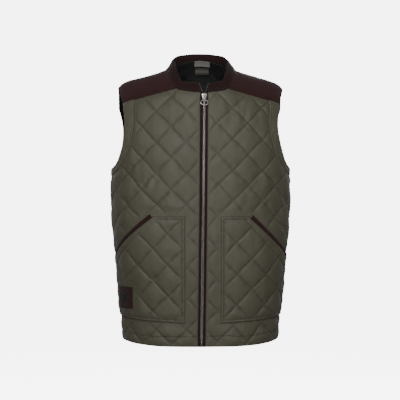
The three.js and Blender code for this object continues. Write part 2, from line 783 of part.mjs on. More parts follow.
function collarPoint({ base, normal, share }, up, height, opening) {
  const lean = readTable(COLLAR, "share", "lean", share);
  const rise = readTable(COLLAR, "share", "rise", share);
  const inward = new THREE.Vector3(-base.x, NECK_AXIS_Y - base.y, 0).normalize();
  const bow = Math.sin(Math.PI * up) * 1.2;
  const along = inward.clone().multiplyScalar(lean).add(new THREE.Vector3(0, 0, rise));
  const wallNormal = inward.clone().multiplyScalar(-rise).add(new THREE.Vector3(0, 0, lean)).normalize();
  const outward = normal.clone().lerp(wallNormal, smooth(up * 2)).normalize();
  const point = base.clone().addScaledVector(along, mix(0.025, 1, up));
  point.addScaledVector(outward, height - bow);
  if (opening !== null) point.x = opening;
  return point;
}

function collar() {
  const first = 2;
  const length = NECK_COUNT - first + 1;
  const half = (side) => Array.from({ length }, (_, i) => ({ side, index: first + i }));
  const order = [...half(-1), ...half(1).slice(0, -1).reverse()];
  const up = 3;
  const rows = (height) => order.map(({ side, index }, place) => {
    const station = collarStation(side, index);
    const atFront = place === 0 || place === order.length - 1;
    return Array.from({ length: up + 1 }, (_, row) => {
      const share = row / up;
      const opening = side * mix(COLLAR_BASE_OPENING, COLLAR_TOP_OPENING, share) + ZIP_CENTRE_TOP;
      const rounded = row === up ? height * 0.7 : height;
      return collarPoint(station, share, rounded, atFront ? opening : null);
    });
  });
  return wallOverGrid(rows(COLLAR_WALL), rows(0));
}

// Open end of the zip above the slider, along the collar's front edge
const ZIP_END = { base: 2.8, top: 11.5, seam: 0.4, wall: 1.6, lift: 0.8, steps: 3 };
function zipEnd(side) {
  const station = collarStation(side, 2);
  const rows = (height) => grid(ZIP_END.steps, 1, (up, across) => {
    const outer = mix(COLLAR_BASE_OPENING, COLLAR_TOP_OPENING, up) - ZIP_END.seam;
    const inner = mix(ZIP_END.base, ZIP_END.top, up);
    const x = side * mix(inner, outer, across) + ZIP_CENTRE_TOP;
    return collarPoint(station, mix(0.05, 0.94, up), height, x);
  });
  return wallOverGrid(rows(ZIP_END.lift + ZIP_END.wall), rows(ZIP_END.lift));
}

// Strip of cloth or metal down the centre front
function centreStrip(fromZ, toZ, left, right, lift, wall, count) {
  const rows = (height) => grid(count, 1, (down, across) => {
    const z = mix(fromZ, toZ, down);
    return bodyOffset("front", zipCentre(z) + mix(left, right, across), z, height);
  });
  return wallOverGrid(rows(lift + wall), rows(lift));
}

function pocketBinding(side) {
  const lift = WALL + PATCH_GAP;
  const rows = (height) => grid(MOUTH_STEPS, 2, (along, across) => {
    const [u, z] = pocketMouth(side, Math.min(Math.max(along, 0.005), 0.985), across, 0);
    return bodyOffset("front", u, z, height);
  });
  return wallOverGrid(rows(lift + BAND_WALL), rows(lift));
}

// Lining behind the back neck, where it shows through the neck opening
const LINING = { halfWidth: 78, sweepCentre: 0.8, sweepSide: 0.55, wall: 1.2, gap: 1.4 };
function liningPlace(a, down, depth) {
  const x = (a * 2 - 1) * LINING.halfWidth;
  const width = Math.abs(x);
  let index = NECK_COUNT;
  while (neckStation(index - 1).x < width) index -= 1;
  const [near, far] = [neckStation(index), neckStation(index - 1)];
  const topSweep = mix(near.sweep, far.sweep, (width - near.x) / (far.x - near.x)) + 0.015;
  const bottom = mix(LINING.sweepCentre, LINING.sweepSide, (width / LINING.halfWidth) ** 2);
  return archOffset(x, mix(topSweep, bottom, down), -depth);
}

function liningBack() {
  const rows = (depth) => grid(8, 14, (down, a) => liningPlace(a, down, depth));
  return wallOverGrid(rows(LINING.gap), rows(LINING.gap + LINING.wall));
}

// Label sewn inside the back neck, hanging just in front of the lining
const NECK_LABELS = [
  { name: "neck_label", from: -0.02, to: 0.13, width: 43 },
  { name: "size_label", from: 0.16, to: 0.31, width: 38 },
];
const NECK_LABEL_X = 6.5;
const NECK_LABEL_GAP = 0.6;
const NECK_LABEL_WALL = 0.8;

function neckLabel(fromDown, toDown, width) {
  const a0 = (NECK_LABEL_X - width / 2) / (2 * LINING.halfWidth) + 0.5;
  const a1 = (NECK_LABEL_X + width / 2) / (2 * LINING.halfWidth) + 0.5;
  const depth = LINING.gap + LINING.wall + NECK_LABEL_GAP;
  const rows = (extra) => grid(3, 4, (down, across) => (
    liningPlace(mix(a0, a1, across), mix(fromDown, toDown, down), depth + extra)
  ));
  return wallOverGrid(rows(0), rows(NECK_LABEL_WALL));
}

function patchPiece(outline, lift, wall) {
  const place = (height) => ([u, z]) => bodyOffset("front", u, z, height);
  const edge = divideOutline(outline, STEP);
  const [low, high] = [outline[0], outline[2]];
  const points = [];
  for (let i = 1; i < 4; i += 1) {
    for (let j = 1; j < 4; j += 1) points.push([mix(low[0], high[0], i / 4), mix(low[1], high[1], j / 4)]);
  }
  return wallOverOutline(edge, points, points, place(lift + wall), place(lift));
}

// Zip slider: two plates joined by a post, with an arch that holds the pull
const SLIDER = { top: 6.7, bottom: 4.6, height: 11.5, plate: 1.6, post: 3.2 };
const ARCH = { halfLength: 3.7, height: 4.7, wire: 1.5, width: 2.2 };
const PIVOT_OUT = 1.5;
const PULL_PLATE = 1.8;

function extruded(shape, depth) {
  return new THREE.ExtrudeGeometry(shape, { depth, bevelEnabled: false, curveSegments: 8 });
}

// A shape drawn as seen from the front becomes a plate whose outer face looks along -Y
function plate(shape, outFrom, outTo) {
  const geometry = extruded(shape, outTo - outFrom);
  geometry.rotateX(Math.PI / 2);
  geometry.translate(0, -outFrom, 0);
  return solidOf(geometry);
}

function sliderOutline() {
  const { top, bottom, height } = SLIDER;
  const shape = new THREE.Shape();
  shape.moveTo(-bottom, -height / 2);
  shape.lineTo(bottom, -height / 2);
  shape.quadraticCurveTo(top * 0.8, 0, top, height * 0.2);
  shape.quadraticCurveTo(top, height / 2, 0, height / 2);
  shape.quadraticCurveTo(-top, height / 2, -top, height * 0.2);
  shape.quadraticCurveTo(-top * 0.8, 0, -bottom, -height / 2);
  return shape;
}

function zipSlider(chainFront, chainBack) {
  const front = chainFront + SEAM_GAP;
  const back = chainBack - SEAM_GAP;
  const frontPlate = plate(sliderOutline(), front, front + SLIDER.plate);
  const backPlate = plate(sliderOutline(), back - SLIDER.plate, back);
  const post = new THREE.BoxGeometry(SLIDER.post, front - back + SLIDER.plate, SLIDER.post);
  post.translate(0, -(front + back) / 2, SLIDER.height * 0.28);
  const arch = new THREE.Shape();
  const out = front + SLIDER.plate * 0.5;
  const tip = front + SLIDER.plate + ARCH.height;
  arch.moveTo(-ARCH.halfLength, out);
  arch.quadraticCurveTo(-ARCH.halfLength, tip, 0, tip);
  arch.quadraticCurveTo(ARCH.halfLength, tip, ARCH.halfLength, out);
  arch.lineTo(ARCH.halfLength - ARCH.wire, out);
  arch.quadraticCurveTo(ARCH.halfLength - ARCH.wire, tip - ARCH.wire, 0, tip - ARCH.wire);
  arch.quadraticCurveTo(-ARCH.halfLength + ARCH.wire, tip - ARCH.wire, -ARCH.halfLength + ARCH.wire, out);
  const bridge = extruded(arch, ARCH.width);
  bridge.translate(0, 0, -ARCH.width / 2);
  bridge.rotateY(Math.PI / 2);
  bridge.rotateX(Math.PI);
  return geometryOf(frontPlate.add(backPlate).add(solidOf(post)).add(solidOf(bridge)));
}

// Ring pull: an eye round the slider's arch, a stem with a small hole, and a ring
const PULL = {
  eyeHalf: 3.6,
  eyeWall: 1.7,
  eyeTop: 0.9,
  eyeLength: 5,
  shoulder: 5.6,
  flare: 0.6,
  waist: 7,
  ringOverlap: 2,
  holeDrop: 8.2,
  hole: 1.3,
  ringDrop: 19.5,
  ringX: 10.2,
  ringZ: 8,
  wire: 2.4,
};
const HOLE_SIDES = 12;
const RING_SIDES = 24;

function oval(z, radiusX, radiusZ, count) {
  return Array.from({ length: count }, (_, i) => {
    const angle = (2 * Math.PI * i) / count;
    return new THREE.Vector2(radiusX * Math.cos(angle), z + radiusZ * Math.sin(angle));
  });
}

function zipPull() {
  const shape = new THREE.Shape();
  const stem = PULL.eyeHalf + PULL.flare;
  const foot = PULL.ringZ - PULL.ringDrop - PULL.ringOverlap;
  shape.moveTo(-PULL.eyeHalf, PULL.eyeTop);
  shape.lineTo(-PULL.eyeHalf, -PULL.shoulder);
  shape.quadraticCurveTo(-stem, -PULL.waist, -stem - PULL.flare, foot);
  shape.lineTo(stem + PULL.flare, foot);
  shape.quadraticCurveTo(stem, -PULL.waist, PULL.eyeHalf, -PULL.shoulder);
  shape.lineTo(PULL.eyeHalf, PULL.eyeTop);
  const eye = new THREE.Path();
  const eyeInner = PULL.eyeHalf - PULL.eyeWall;
  eye.moveTo(-eyeInner, -PULL.eyeTop);
  eye.lineTo(eyeInner, -PULL.eyeTop);
  eye.lineTo(eyeInner, -PULL.eyeLength);
  eye.lineTo(-eyeInner, -PULL.eyeLength);
  shape.holes.push(eye);
  shape.holes.push(new THREE.Path(oval(-PULL.holeDrop, PULL.hole, PULL.hole, HOLE_SIDES)));
  const gap = oval(-PULL.ringDrop, PULL.ringX - PULL.wire, PULL.ringZ - PULL.wire, RING_SIDES);
  const ring = new THREE.Shape(oval(-PULL.ringDrop, PULL.ringX, PULL.ringZ, RING_SIDES));
  ring.holes.push(new THREE.Path(gap));
  const finger = new THREE.Shape(gap);
  const half = PULL_PLATE / 2;
  const stemPlate = plate(shape, -half, half).subtract(plate(finger, -2 * half, 2 * half));
  return geometryOf(stemPlate.add(plate(ring, -half, half)));
}

// Cloth and metal finishes
function finish(color, roughness, metalness) {
  return new THREE.MeshStandardMaterial({ color, roughness, metalness });
}
const SHELL = finish(0x5a584c, 0.55, 0);
const PLAIN_SHELL = finish(0x524f43, 0.6, 0);
const CONTRAST = finish(0x361e20, 0.85, 0);
const LINING_CLOTH = finish(0x141614, 0.8, 0);
const LABEL = finish(0x5d5c58, 0.8, 0);
const TAPE = finish(0x2c1a1b, 0.85, 0);
const METAL = finish(0xa8a29c, 0.3, 1);

const vest = new THREE.Group();
function add(name, geometry, material, parent = vest) {
  const mesh = new THREE.Mesh(geometry, material);
  mesh.name = name;
  parent.add(mesh);
}

const SIDES = [{ name: "left", side: -1 }, { name: "right", side: 1 }];
SIDES.forEach(({ name, side }) => {
  const footprint = pocketFootprint(side);
  const front = {
    face: "front",
    corners: frontOutline(side),
    crossing: CROSSING[`front_${name}`],
    lift: 0,
    pressed: [footprint],
    fineInside: false,
  };
  const pocket = {
    face: "front",
    corners: pocketOutline(side),
    crossing: CROSSING[`pocket_${name}`],
    lift: WALL + PATCH_GAP,
    pressed: side < 0 ? [patchOutline(1)] : [],
    fineInside: true,
  };
  add(`front_${name}`, quiltedPanel(front), SHELL);
  add(`pocket_${name}`, quiltedPanel(pocket), SHELL);
  add(`pocket_binding_${name}`, pocketBinding(side), CONTRAST);
  add(`yoke_${name}`, yoke(side), CONTRAST);
  add(`armhole_band_${name}`, armholeBand(side), PLAIN_SHELL);
  add(`zip_end_${name}`, zipEnd(side), TAPE);
});

const back = {
  face: "back",
  corners: backOutline(),
  crossing: CROSSING.back,
  lift: 0,
  pressed: [],
  fineInside: false,
};
add("back", quiltedPanel(back), SHELL);
add("collar", collar(), CONTRAST);
add("lining_back", liningBack(), LINING_CLOTH);
for (const { name, from, to, width } of NECK_LABELS) {
  add(name, neckLabel(from, to, width), LABEL);
}

const patchLift = WALL + PATCH_GAP + WALL + PATCH_GAP;
add("patch_label", patchPiece(patchOutline(0), patchLift, PATCH.wall), CONTRAST);

const STRIP_STEPS = 24;
const BOX_STEPS = 2;
const BOX_HEIGHT = 11;
const BOX_TOP_Z = HEM_Z + BOX_HEIGHT;
const BOX_GAP = 0.4;
const CHAIN_TOP_Z = SLIDER_Z + 1;
const tape = (left, right) => (
  centreStrip(ZIP_TOP_Z, HEM_Z, left, right, TAPE_LIFT, TAPE_WALL, STRIP_STEPS)
);
const metalStrip = (top, bottom, wall, count) => (
  centreStrip(top, bottom, -CHAIN_HALF, CHAIN_HALF, CHAIN_LIFT, wall, count)
);
add("zip_tape_left", tape(-TAPE_OUTER, -TAPE_INNER), TAPE);
add("zip_tape_right", tape(TAPE_INNER, TAPE_OUTER), TAPE);
add("zip_chain", metalStrip(CHAIN_TOP_Z, BOX_TOP_Z + BOX_GAP, CHAIN_WALL, STRIP_STEPS), METAL);
add("zip_box", metalStrip(BOX_TOP_Z, HEM_Z + 1, CHAIN_WALL + 1, BOX_STEPS), METAL);

// The slider sits on the chain, square to the cloth at that height
const seat = new THREE.Group();
const seatNormal = bodyNormal("front", zipCentre(SLIDER_Z), SLIDER_Z);
seat.position.copy(bodyPoint("front", zipCentre(SLIDER_Z), SLIDER_Z));
seat.rotation.x = -Math.atan2(seatNormal.z, -seatNormal.y);
vest.add(seat);
const chainFront = CHAIN_LIFT + CHAIN_WALL;
add("zip_slider", zipSlider(chainFront, CHAIN_LIFT), METAL, seat);
const pivot = new THREE.Group();
pivot.position.set(0, -(chainFront + SEAM_GAP + SLIDER.plate + PIVOT_OUT), 0);
seat.add(pivot);
add("zip_pull", zipPull(), METAL, pivot);

export default vest;
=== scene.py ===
"""Quilted vest: cloth, zip, stitching and stage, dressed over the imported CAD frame."""

import math

import bmesh
import bpy
import numpy as np
from mathutils import Matrix, Vector


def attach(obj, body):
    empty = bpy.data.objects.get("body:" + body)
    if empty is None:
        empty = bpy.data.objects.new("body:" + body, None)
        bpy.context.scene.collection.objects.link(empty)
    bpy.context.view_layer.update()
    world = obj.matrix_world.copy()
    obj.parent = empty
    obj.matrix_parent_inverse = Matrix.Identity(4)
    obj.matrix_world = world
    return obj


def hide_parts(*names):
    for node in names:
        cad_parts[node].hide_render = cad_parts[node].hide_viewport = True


bl_info = {
    "name": "Quilted Vest",
    "version": (1, 0, 0),
    "blender": (4, 5, 0),
    "location": "3D View > Sidebar > Vest",
    "description": "Builds a quilted bodywarmer from its pattern",
    "category": "Object",
}

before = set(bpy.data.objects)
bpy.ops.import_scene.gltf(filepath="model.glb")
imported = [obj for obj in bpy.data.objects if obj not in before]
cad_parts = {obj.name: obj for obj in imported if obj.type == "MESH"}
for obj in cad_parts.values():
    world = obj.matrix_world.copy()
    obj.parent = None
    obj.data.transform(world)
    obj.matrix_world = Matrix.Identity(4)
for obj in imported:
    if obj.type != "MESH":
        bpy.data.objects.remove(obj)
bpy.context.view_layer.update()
BODY = "vest"
PULL_BODY = "pull"
MM = 0.001

# Heights and wall thicknesses in millimetres, as in the part's source
HEM_Z = -697.5
UNDERARM_Z = -256.0
RIDGE_Y = 10.0
SECTION_POWER = 2.4
ARCH_POWER = 2.4
SEAM_GAP = 0.3
WALL = 2.4
BAND_WALL = 3.2
YOKE_WALL = 2.8
PATCH_GAP = 1.15
LEAST_WALL = 0.5

RINGS = {
    "z": (-256, -340, -420, -500, -575, -640, -697.5),
    "half_width": (228.5, 228.5, 224, 213.5, 207.5, 202, 199.5),
    "front": (122, 124, 125, 124, 120, 116, 114),
    "back": (113, 104, 101, 106, 117, 127, 131),
}
RIDGE = {
    "x": (0, 30, 60, 80, 92, 150, 200, 229),
    "z": (50, 44, 27, 8, -1, -19.5, -35.5, -66),
}
NECKLINE = {
    "x": (0, 22, 45, 62, 74, 84, 89, 81, 60, 32, 0),
    "sweep": (-0.62, -0.612, -0.584, -0.54, -0.42, -0.25, 0, 0.08, 0.145, 0.19, 0.205),
}
NECK_STEPS = 30
ARMHOLE = {
    "front": ((194, -122), (192.5, -150), (197, -188), (202.5, -212), (209.5, -233), (219, -248)),
    "back": ((206.5, -120), (203, -150), (205, -186), (211, -214), (218, -236), (224, -249)),
}
YOKE_END = {"front": (198, -91), "back": (213, -96)}
YOKE_CENTRE_BACK_Z = -80
YOKE_NECK_SHARE = 0.3
SHOULDER_TIP_X = 213
HEM_LIFT = 6
TUCK = 0.15
BAND_WIDTH_TOP = 29
BAND_WIDTH_UNDERARM = 19
STATIONS = 12

# Topstitching: distances from a piece's edge, and how deep the thread lies
HEM_STITCH = 26
POCKET_STITCH = 7.5
SEAM_STITCH = 5.5
BAND_STITCH_SHARE = 0.86
BAND_SPREAD = 24
THREAD_SINK = 0.35
THREAD_LIFT = 0.05
GROOVE_DEPTH = 0.45
GROOVE_WIDTH = 1.3
OUT_OF_REACH = 330

# Diamond quilting
DIAMOND_WIDTH = 76
DIAMOND_HEIGHT = 77
LINE_SPACING = DIAMOND_WIDTH * DIAMOND_HEIGHT / math.hypot(DIAMOND_WIDTH, DIAMOND_HEIGHT)
CELL_CUTS = (
    0, 0.022, 0.05, 0.085, 0.13, 0.185, 0.25, 0.32, 0.4, 0.48, 0.56, 0.64, 0.72, 0.79, 0.85, 0.9, 0.945, 0.978
)
PUFF_POWER = 0.6
EDGE_RINGS = (0.9, 1.3, 2.5)
POCKET_RINGS = (0.9, 1.3, 1.9, 2.4, 1.0, 1.0)
STITCH_CUTS = (-2.6, -1.3, 0, 1.3, 2.6)
VALLEY_WIDTH = 2.6
GATHER_REACH = 13
WANDER = 2.4
EDGE_FADE = 15
PRESS_FADE = 24
CROSSING = {
    "front_left": (0, -154),
    "front_right": (0, -184),
    "back": (0, -160),
    "pocket_left": (-84, -494),
    "pocket_right": (84, -518),
}

# Closed zip down the centre front
ZIP_CENTRE_TOP = 5
ZIP_CENTRE_HEM = -1.8
ZIP_TOP_Z = -66
ZIP_TOP_X = 12.0
FRONT_EDGE = 8.98
TAPE_OUTER = 9.2
TAPE_MEETING = 0.1
CHAIN_HALF = 3.8
CHAIN_LIFT = 0.3
CHAIN_WALL = 2.6
TOOTH = {"width": 4.6, "share": 0.62, "bevel": 0.45, "aside": 1.45, "lift": 0.35}
END_TOOTH = {"width": 3.0, "share": 0.6, "bevel": 0.4, "wall": 2.2, "lift": 1.7}
END_LENGTH = 24
TAPE_UNDER = 0.5
TAPE_OVER = 1.5
SLIDER_Z = -77.5
BOX_TOP_Z = HEM_Z + 11

POCKET = {
    "inner_left": 42,
    "inner_right": 45,
    "top": -375,
    "top_end_left": 129,
    "top_end_right": 125,
    "mouth_top_left": -369,
    "mouth_top_right": -372,
    "mouth_end_left": -495,
    "mouth_end_right": -500,
    "bow_left": 2,
    "bow_right": -2.5,
    "bottom_inner": -639,
    "bottom_side": -629,
    "binding_top": 10,
    "binding_side": 6.4,
    "corner_share": 0.7,
}
PATCH = {"u": -201, "z": -578, "width": 50, "height": 54, "wall": 1.6}
PATCH_LIFT = 2 * (WALL + PATCH_GAP)

COLLAR = {
    "share": (0, 0.2, 0.4, 0.58, 0.74, 0.88, 1),
    "lean": (9, 13, 18, 19, 9, 1, -2),
    "rise": (23, 22, 23, 26, 27, 20, 17),
}
COLLAR_WALL = 3.6
COLLAR_BASE_OPENING = 9.5
COLLAR_TOP_OPENING = 15
COLLAR_START = 2 / NECK_STEPS
COLLAR_SECOND = 3 / NECK_STEPS
NECK_AXIS_Y = -22
COLLAR_LENGTH = 330
COLLAR_HEIGHT = 27
LABEL_X = 6.5
LABEL_LIFT = 2.6
LABELS = {
    "neck_label": {
        "top": -0.02, "bottom": 0.13, "width": 43, "finish": "label_grey", "flat": (0.043, 0.021),
    },
    "size_label": {
        "top": 0.16, "bottom": 0.31, "width": 38, "finish": "label_banded", "flat": (0.038, 0.026),
    },
}
LINING = {"half_width": 78, "sweep_centre": 0.8, "sweep_side": 0.55, "wall": 1.2, "gap": 1.4}

# Creases that hang in the cloth, placed on the pattern: ends, width and depth
CREASES = {
    "front_left": (
        (-62, -84, -54, -150, 6, -1.6),
        (-78, -92, -74, -140, 5, 1.1),
        (-104, -250, -132, -330, 8, -1.8),
        (-122, -262, -146, -336, 6, 1.4),
        (-150, -268, -172, -300, 7, -1.5),
        (-40, -300, -62, -352, 7, -1.1),
        (-176, -380, -205, -348, 6, -1.4),
        (-120, -644, -190, -662, 7, -1.3),
    ),
    "front_right": (
        (60, -92, 70, -162, 6, -1.7),
        (78, -90, 92, -158, 5, 1.3),
        (100, -96, 108, -150, 6, -1.5),
        (118, -250, 150, -318, 8, -1.8),
        (140, -246, 166, -306, 6, 1.5),
        (96, -300, 112, -352, 7, -1.3),
        (182, -330, 214, -380, 7, -1.5),
        (110, -646, 182, -660, 7, -1.2),
    ),
    "back": (
        (-150, -130, -110, -250, 10, -2.0),
        (150, -126, 118, -238, 9, -1.9),
        (-60, -300, 40, -330, 12, -1.6),
        (70, -420, 150, -470, 10, -1.9),
        (-160, -450, -80, -500, 11, -1.7),
        (-30, -560, 60, -590, 12, -1.5),
        (30, -150, 48, -260, 8, 1.4),
    ),
    "pocket_left": (
        (-70, -420, -96, -500, 7, -0.9),
        (-150, -520, -190, -560, 8, -1.0),
        (-60, -590, -120, -618, 8, -0.9),
    ),
    "pocket_right": (
        (76, -420, 100, -480, 7, -0.9),
        (150, -540, 190, -580, 8, -1.1),
        (60, -600, 130, -612, 8, -0.8),
    ),
}


def mix(a, b, t):
    """Value a share of the way from one value to another."""
    return a + (b - a) * t


def smooth(value):
    """Soft step from 0 to 1."""
    t = np.clip(value, 0, 1)
    return t * t * (3 - 2 * t)


def signed_power(value, power):
    """Power that keeps the sign."""
    return np.sign(value) * np.abs(value) ** power


def unit(vectors):
    """Vectors of length one."""
    return vectors / np.maximum(np.linalg.norm(vectors, axis=-1, keepdims=True), 1e-12)


def bell(distance, width):
    """Soft bump: 1 at no distance and almost 0 beyond twice the width."""
    return np.exp(-((distance / width) ** 2))


def hermite(t, start, start_slope, end, end_slope):
    """Cubic between two values with the given slopes."""
    return (
        (2 * t**3 - 3 * t**2 + 1) * start
        + (t**3 - 2 * t**2 + t) * start_slope
        + (3 * t**2 - 2 * t**3) * end
        + (t**3 - t**2) * end_slope
    )


def run_lengths(points):
    """Length along a line of points up to each of them."""
    return np.r_[0, np.cumsum(np.linalg.norm(np.diff(points, axis=0), axis=1))]


def points_along(points, lengths, places):
    """Points of a line, or values kept at its points, at places along its length."""
    return np.stack([np.interp(places, lengths, column) for column in np.transpose(points)], 1)


def read_table(table, key, column, value):
    """Smooth curve through a table's rows, read at values of its key column."""
    keys, values = np.array(table[key], float), np.array(table[column], float)
    if keys[0] > keys[-1]:
        keys, values = keys[::-1], values[::-1]
    before = np.r_[0, 0:len(keys) - 1]
    after = np.r_[1:len(keys), len(keys) - 1]
    slopes = (values[after] - values[before]) / (keys[after] - keys[before])
    i = np.clip(np.searchsorted(keys, value, side="right") - 1, 0, len(keys) - 2)
    span = keys[i + 1] - keys[i]
    t = np.clip((value - keys[i]) / span, 0, 1)
    return hermite(t, values[i], span * slopes[i], values[i + 1], span * slopes[i + 1])


def soft_noise(x, y, seed):
    """Smooth uneven values between -1 and 1 over a plane."""
    ix, iy = np.floor(x), np.floor(y)
    tx, ty = smooth(x - ix), smooth(y - iy)

    def corner(dx, dy):
        wave = np.sin((ix + dx) * 127.1 + (iy + dy) * 311.7 + seed * 74.7) * 43758.5453
        return 2 * (wave - np.floor(wave)) - 1

    low = mix(corner(0, 0), corner(1, 0), tx)
    high = mix(corner(0, 1), corner(1, 1), tx)
    return mix(low, high, ty)


# Body below the arms: angle round each section against the length from the centre
ANGLES = np.linspace(0, math.pi / 2, 97)
LEVELS = np.linspace(HEM_Z, UNDERARM_Z, 120)
SHARES = np.linspace(0, 1, 241)


def section_shape(face, z, angle):
    """Half width and depth of the body's section at an angle from the centre."""
    power = 2 / SECTION_POWER
    width = read_table(RINGS, "z", "half_width", z)
    depth = read_table(RINGS, "z", face, z)
    return (
        width * signed_power(np.sin(angle), power),
        depth * signed_power(np.cos(angle), power),
    )


def section_run(face, z):
    """Half widths of the section at a level and the lengths round it from the centre."""
    x, depth = section_shape(face, z, ANGLES)
    return x, np.r_[0, np.cumsum(np.hypot(np.diff(x), np.diff(depth)))]


def section_table(face):
    """Half girth and angle by share of the half girth, for every level."""
    girths, angles = [], []
    for level in LEVELS:
        lengths = section_run(face, level)[1]
        girths.append(lengths[-1])
        angles.append(np.interp(SHARES * lengths[-1], lengths, ANGLES))
    return np.array(girths), np.array(angles)


SECTIONS = {face: section_table(face) for face in ("front", "back")}


def half_girth(face, z):
    """Length round the body from the centre to the side seam."""
    return np.interp(z, LEVELS, SECTIONS[face][0])


def section_point(face, z, u):
    """Half width and depth at a length from the centre."""
    angles = SECTIONS[face][1]
    level = np.clip((z - HEM_Z) / (UNDERARM_Z - HEM_Z), 0, 1) * (len(LEVELS) - 1)
    row = np.minimum(level.astype(int), len(LEVELS) - 2)
    share = u / half_girth(face, z)
    place = np.clip(share, 0, 1) * (len(SHARES) - 1)
    column = np.minimum(place.astype(int), len(SHARES) - 2)
    low = mix(angles[row, column], angles[row, column + 1], place - column)
    high = mix(angles[row + 1, column], angles[row + 1, column + 1], place - column)
    angle = mix(low, high, level - row)
    last = (angles[row, -1] - angles[row, -2]) * (len(SHARES) - 1)
    angle = angle + np.maximum(share - 1, 0) * last
    return section_shape(face, z, angle)


def length_at_width(face, x):
    """Length round the underarm section at which a face has the given half width."""
    widths, lengths = section_run(face, UNDERARM_Z)
    return np.interp(x, widths, lengths)


def arch_depth(face, x):
    """Depth of the underarm section at a half width."""
    width = RINGS["half_width"][0]
    depth = RINGS[face][0]
    return depth * np.maximum(1 - (x / width) ** SECTION_POWER, 0) ** (1 / SECTION_POWER)


def arch_y(face, depth, closing):
    """Front to back place on the arch over the shoulder."""
    if face == "front":
        return RIDGE_Y - (depth + RIDGE_Y) * closing
    return RIDGE_Y + (depth - RIDGE_Y) * closing


def ridge_height(x):
    """Height of the shoulder's ridge line."""
    return read_table(RIDGE, "x", "z", x)


def sweep_at(face, x, z):
    """Sweep over the shoulder at which a half width has the given height."""
    t = (z - UNDERARM_Z) / (ridge_height(x) - UNDERARM_Z)
    sweep = 1 - np.arcsin(t ** (ARCH_POWER / 2)) / (math.pi / 2)
    return -sweep if face == "front" else sweep


def body_point(face, u, z):
    """Inner face of the body at a length from the centre and a height."""
    side = np.where(u < 0, -1.0, 1.0)
    x, depth = section_point(face, np.minimum(z, UNDERARM_Z), np.abs(u))
    t = np.clip((z - UNDERARM_Z) / (ridge_height(x) - UNDERARM_Z), 0, 1)
    closing = (1 - t**ARCH_POWER) ** (1 / ARCH_POWER)
    return np.stack([side * x, arch_y(face, depth, closing), z], -1)


def arch_point(x, sweep):
    """Inner face of the body above the arms, by half width and sweep over the shoulder."""
    width = np.abs(x)
    angle = (1 - np.abs(sweep)) * (math.pi / 2)
    power = 2 / ARCH_POWER
    z = mix(UNDERARM_Z, ridge_height(width), signed_power(np.sin(angle), power))
    closing = signed_power(np.cos(angle), power)
    front = arch_y("front", arch_depth("front", width), closing)
    back = arch_y("back", arch_depth("back", width), closing)
    return np.stack([x, np.where(sweep < 0, front, back), z], -1)


def surface_normal(surface, a, b, step_a, step_b):
    """Outward normal of a surface given as a function of two values."""
    along_a = surface(a + step_a, b) - surface(a - step_a, b)
    along_b = surface(a, b + step_b) - surface(a, b - step_b)
    return unit(np.cross(along_a, along_b))


def body_normal(face, u, z):
    """Outward normal of the body."""
    normal = surface_normal(lambda a, b: body_point(face, a, b), u, z, 0.8, 0.8)
    return normal if face == "front" else -normal


def arch_normal(x, sweep):
    """Outward normal over the shoulders."""
    return surface_normal(arch_point, x, sweep, 0.8, 0.006)


def drape(face, u, z):
    """Slow unevenness of the hanging cloth, shared by everything that lies on it."""
    seed = 1 if face == "front" else 2
    wave = 2.1 * soft_noise(u / 84, z / 118, seed) + 0.9 * soft_noise(u / 37, z / 52, seed + 3)
    side = smooth((half_girth(face, np.minimum(z, UNDERARM_Z)) - np.abs(u) - 4) / 45)
    centre = smooth((np.abs(u) - 14) / 40) if face == "front" else 1.0
    top = smooth((-112 - z) / 60)
    return wave * side * centre * top


def hang(place):
    """Lets the hem rise a little towards the side seams."""
    moved = place.copy()
    low = smooth((-590 - place[..., 2]) / 100)
    moved[..., 2] += HEM_LIFT * low * smooth((place[..., 1] + 115) / 70)
    return moved


def body_offset(face, u, z, height):
    """Point at a height over the body's cloth."""
    lift = height + drape(face, u, z)
    return hang(body_point(face, u, z) + body_normal(face, u, z) * lift[..., None])


def arch_offset(x, sweep, height):
    """Point at a height over the shoulders' cloth."""
    return arch_point(x, sweep) + arch_normal(x, sweep) * np.asarray(height)[..., None]


def catmull(points, count):
    """Centripetal curve through points, as evenly counted samples."""
    points = np.array(points, float)
    padded = np.vstack([2 * points[0] - points[1], points, 2 * points[-1] - points[-2]])
    samples = []
    for t in np.linspace(0, len(points) - 1, count):
        i = min(int(t), len(points) - 2)
        w = t - i
        p = padded[i:i + 4]
        gap = np.maximum(np.sum(np.diff(p, axis=0) ** 2, axis=1) ** 0.25, 1e-4)
        slope = np.diff(p, axis=0) / gap[:, None]
        start = (slope[0] - (p[2] - p[0]) / (gap[0] + gap[1]) + slope[1]) * gap[1]
        end = (slope[1] - (p[3] - p[1]) / (gap[1] + gap[2]) + slope[2]) * gap[1]
        samples.append(hermite(w, p[1], start, p[2], end))
    return np.array(samples)


NECK_SHARES = np.linspace(0, 1, 601)
NECK_CURVE = catmull([(x, s * 100) for x, s in zip(NECKLINE["x"], NECKLINE["sweep"])], 601)


def neck_place(share):
    """Half width and sweep of the neckline, from the centre front at 0 to the centre back at 1."""
    x = np.interp(share, NECK_SHARES, NECK_CURVE[:, 0])
    return np.maximum(x, 0), np.interp(share, NECK_SHARES, NECK_CURVE[:, 1]) / 100


def flat_place(x, sweep):
    """Pattern point of a place over the shoulder."""
    face = "front" if sweep < 0 else "back"
    return float(length_at_width(face, x)), float(arch_point(np.array(float(x)), np.array(sweep))[2])


def zip_centre(z):
    """Where the zip's middle runs at a height."""
    return mix(ZIP_CENTRE_HEM, ZIP_CENTRE_TOP, (z - HEM_Z) / (ZIP_TOP_Z - HEM_Z))


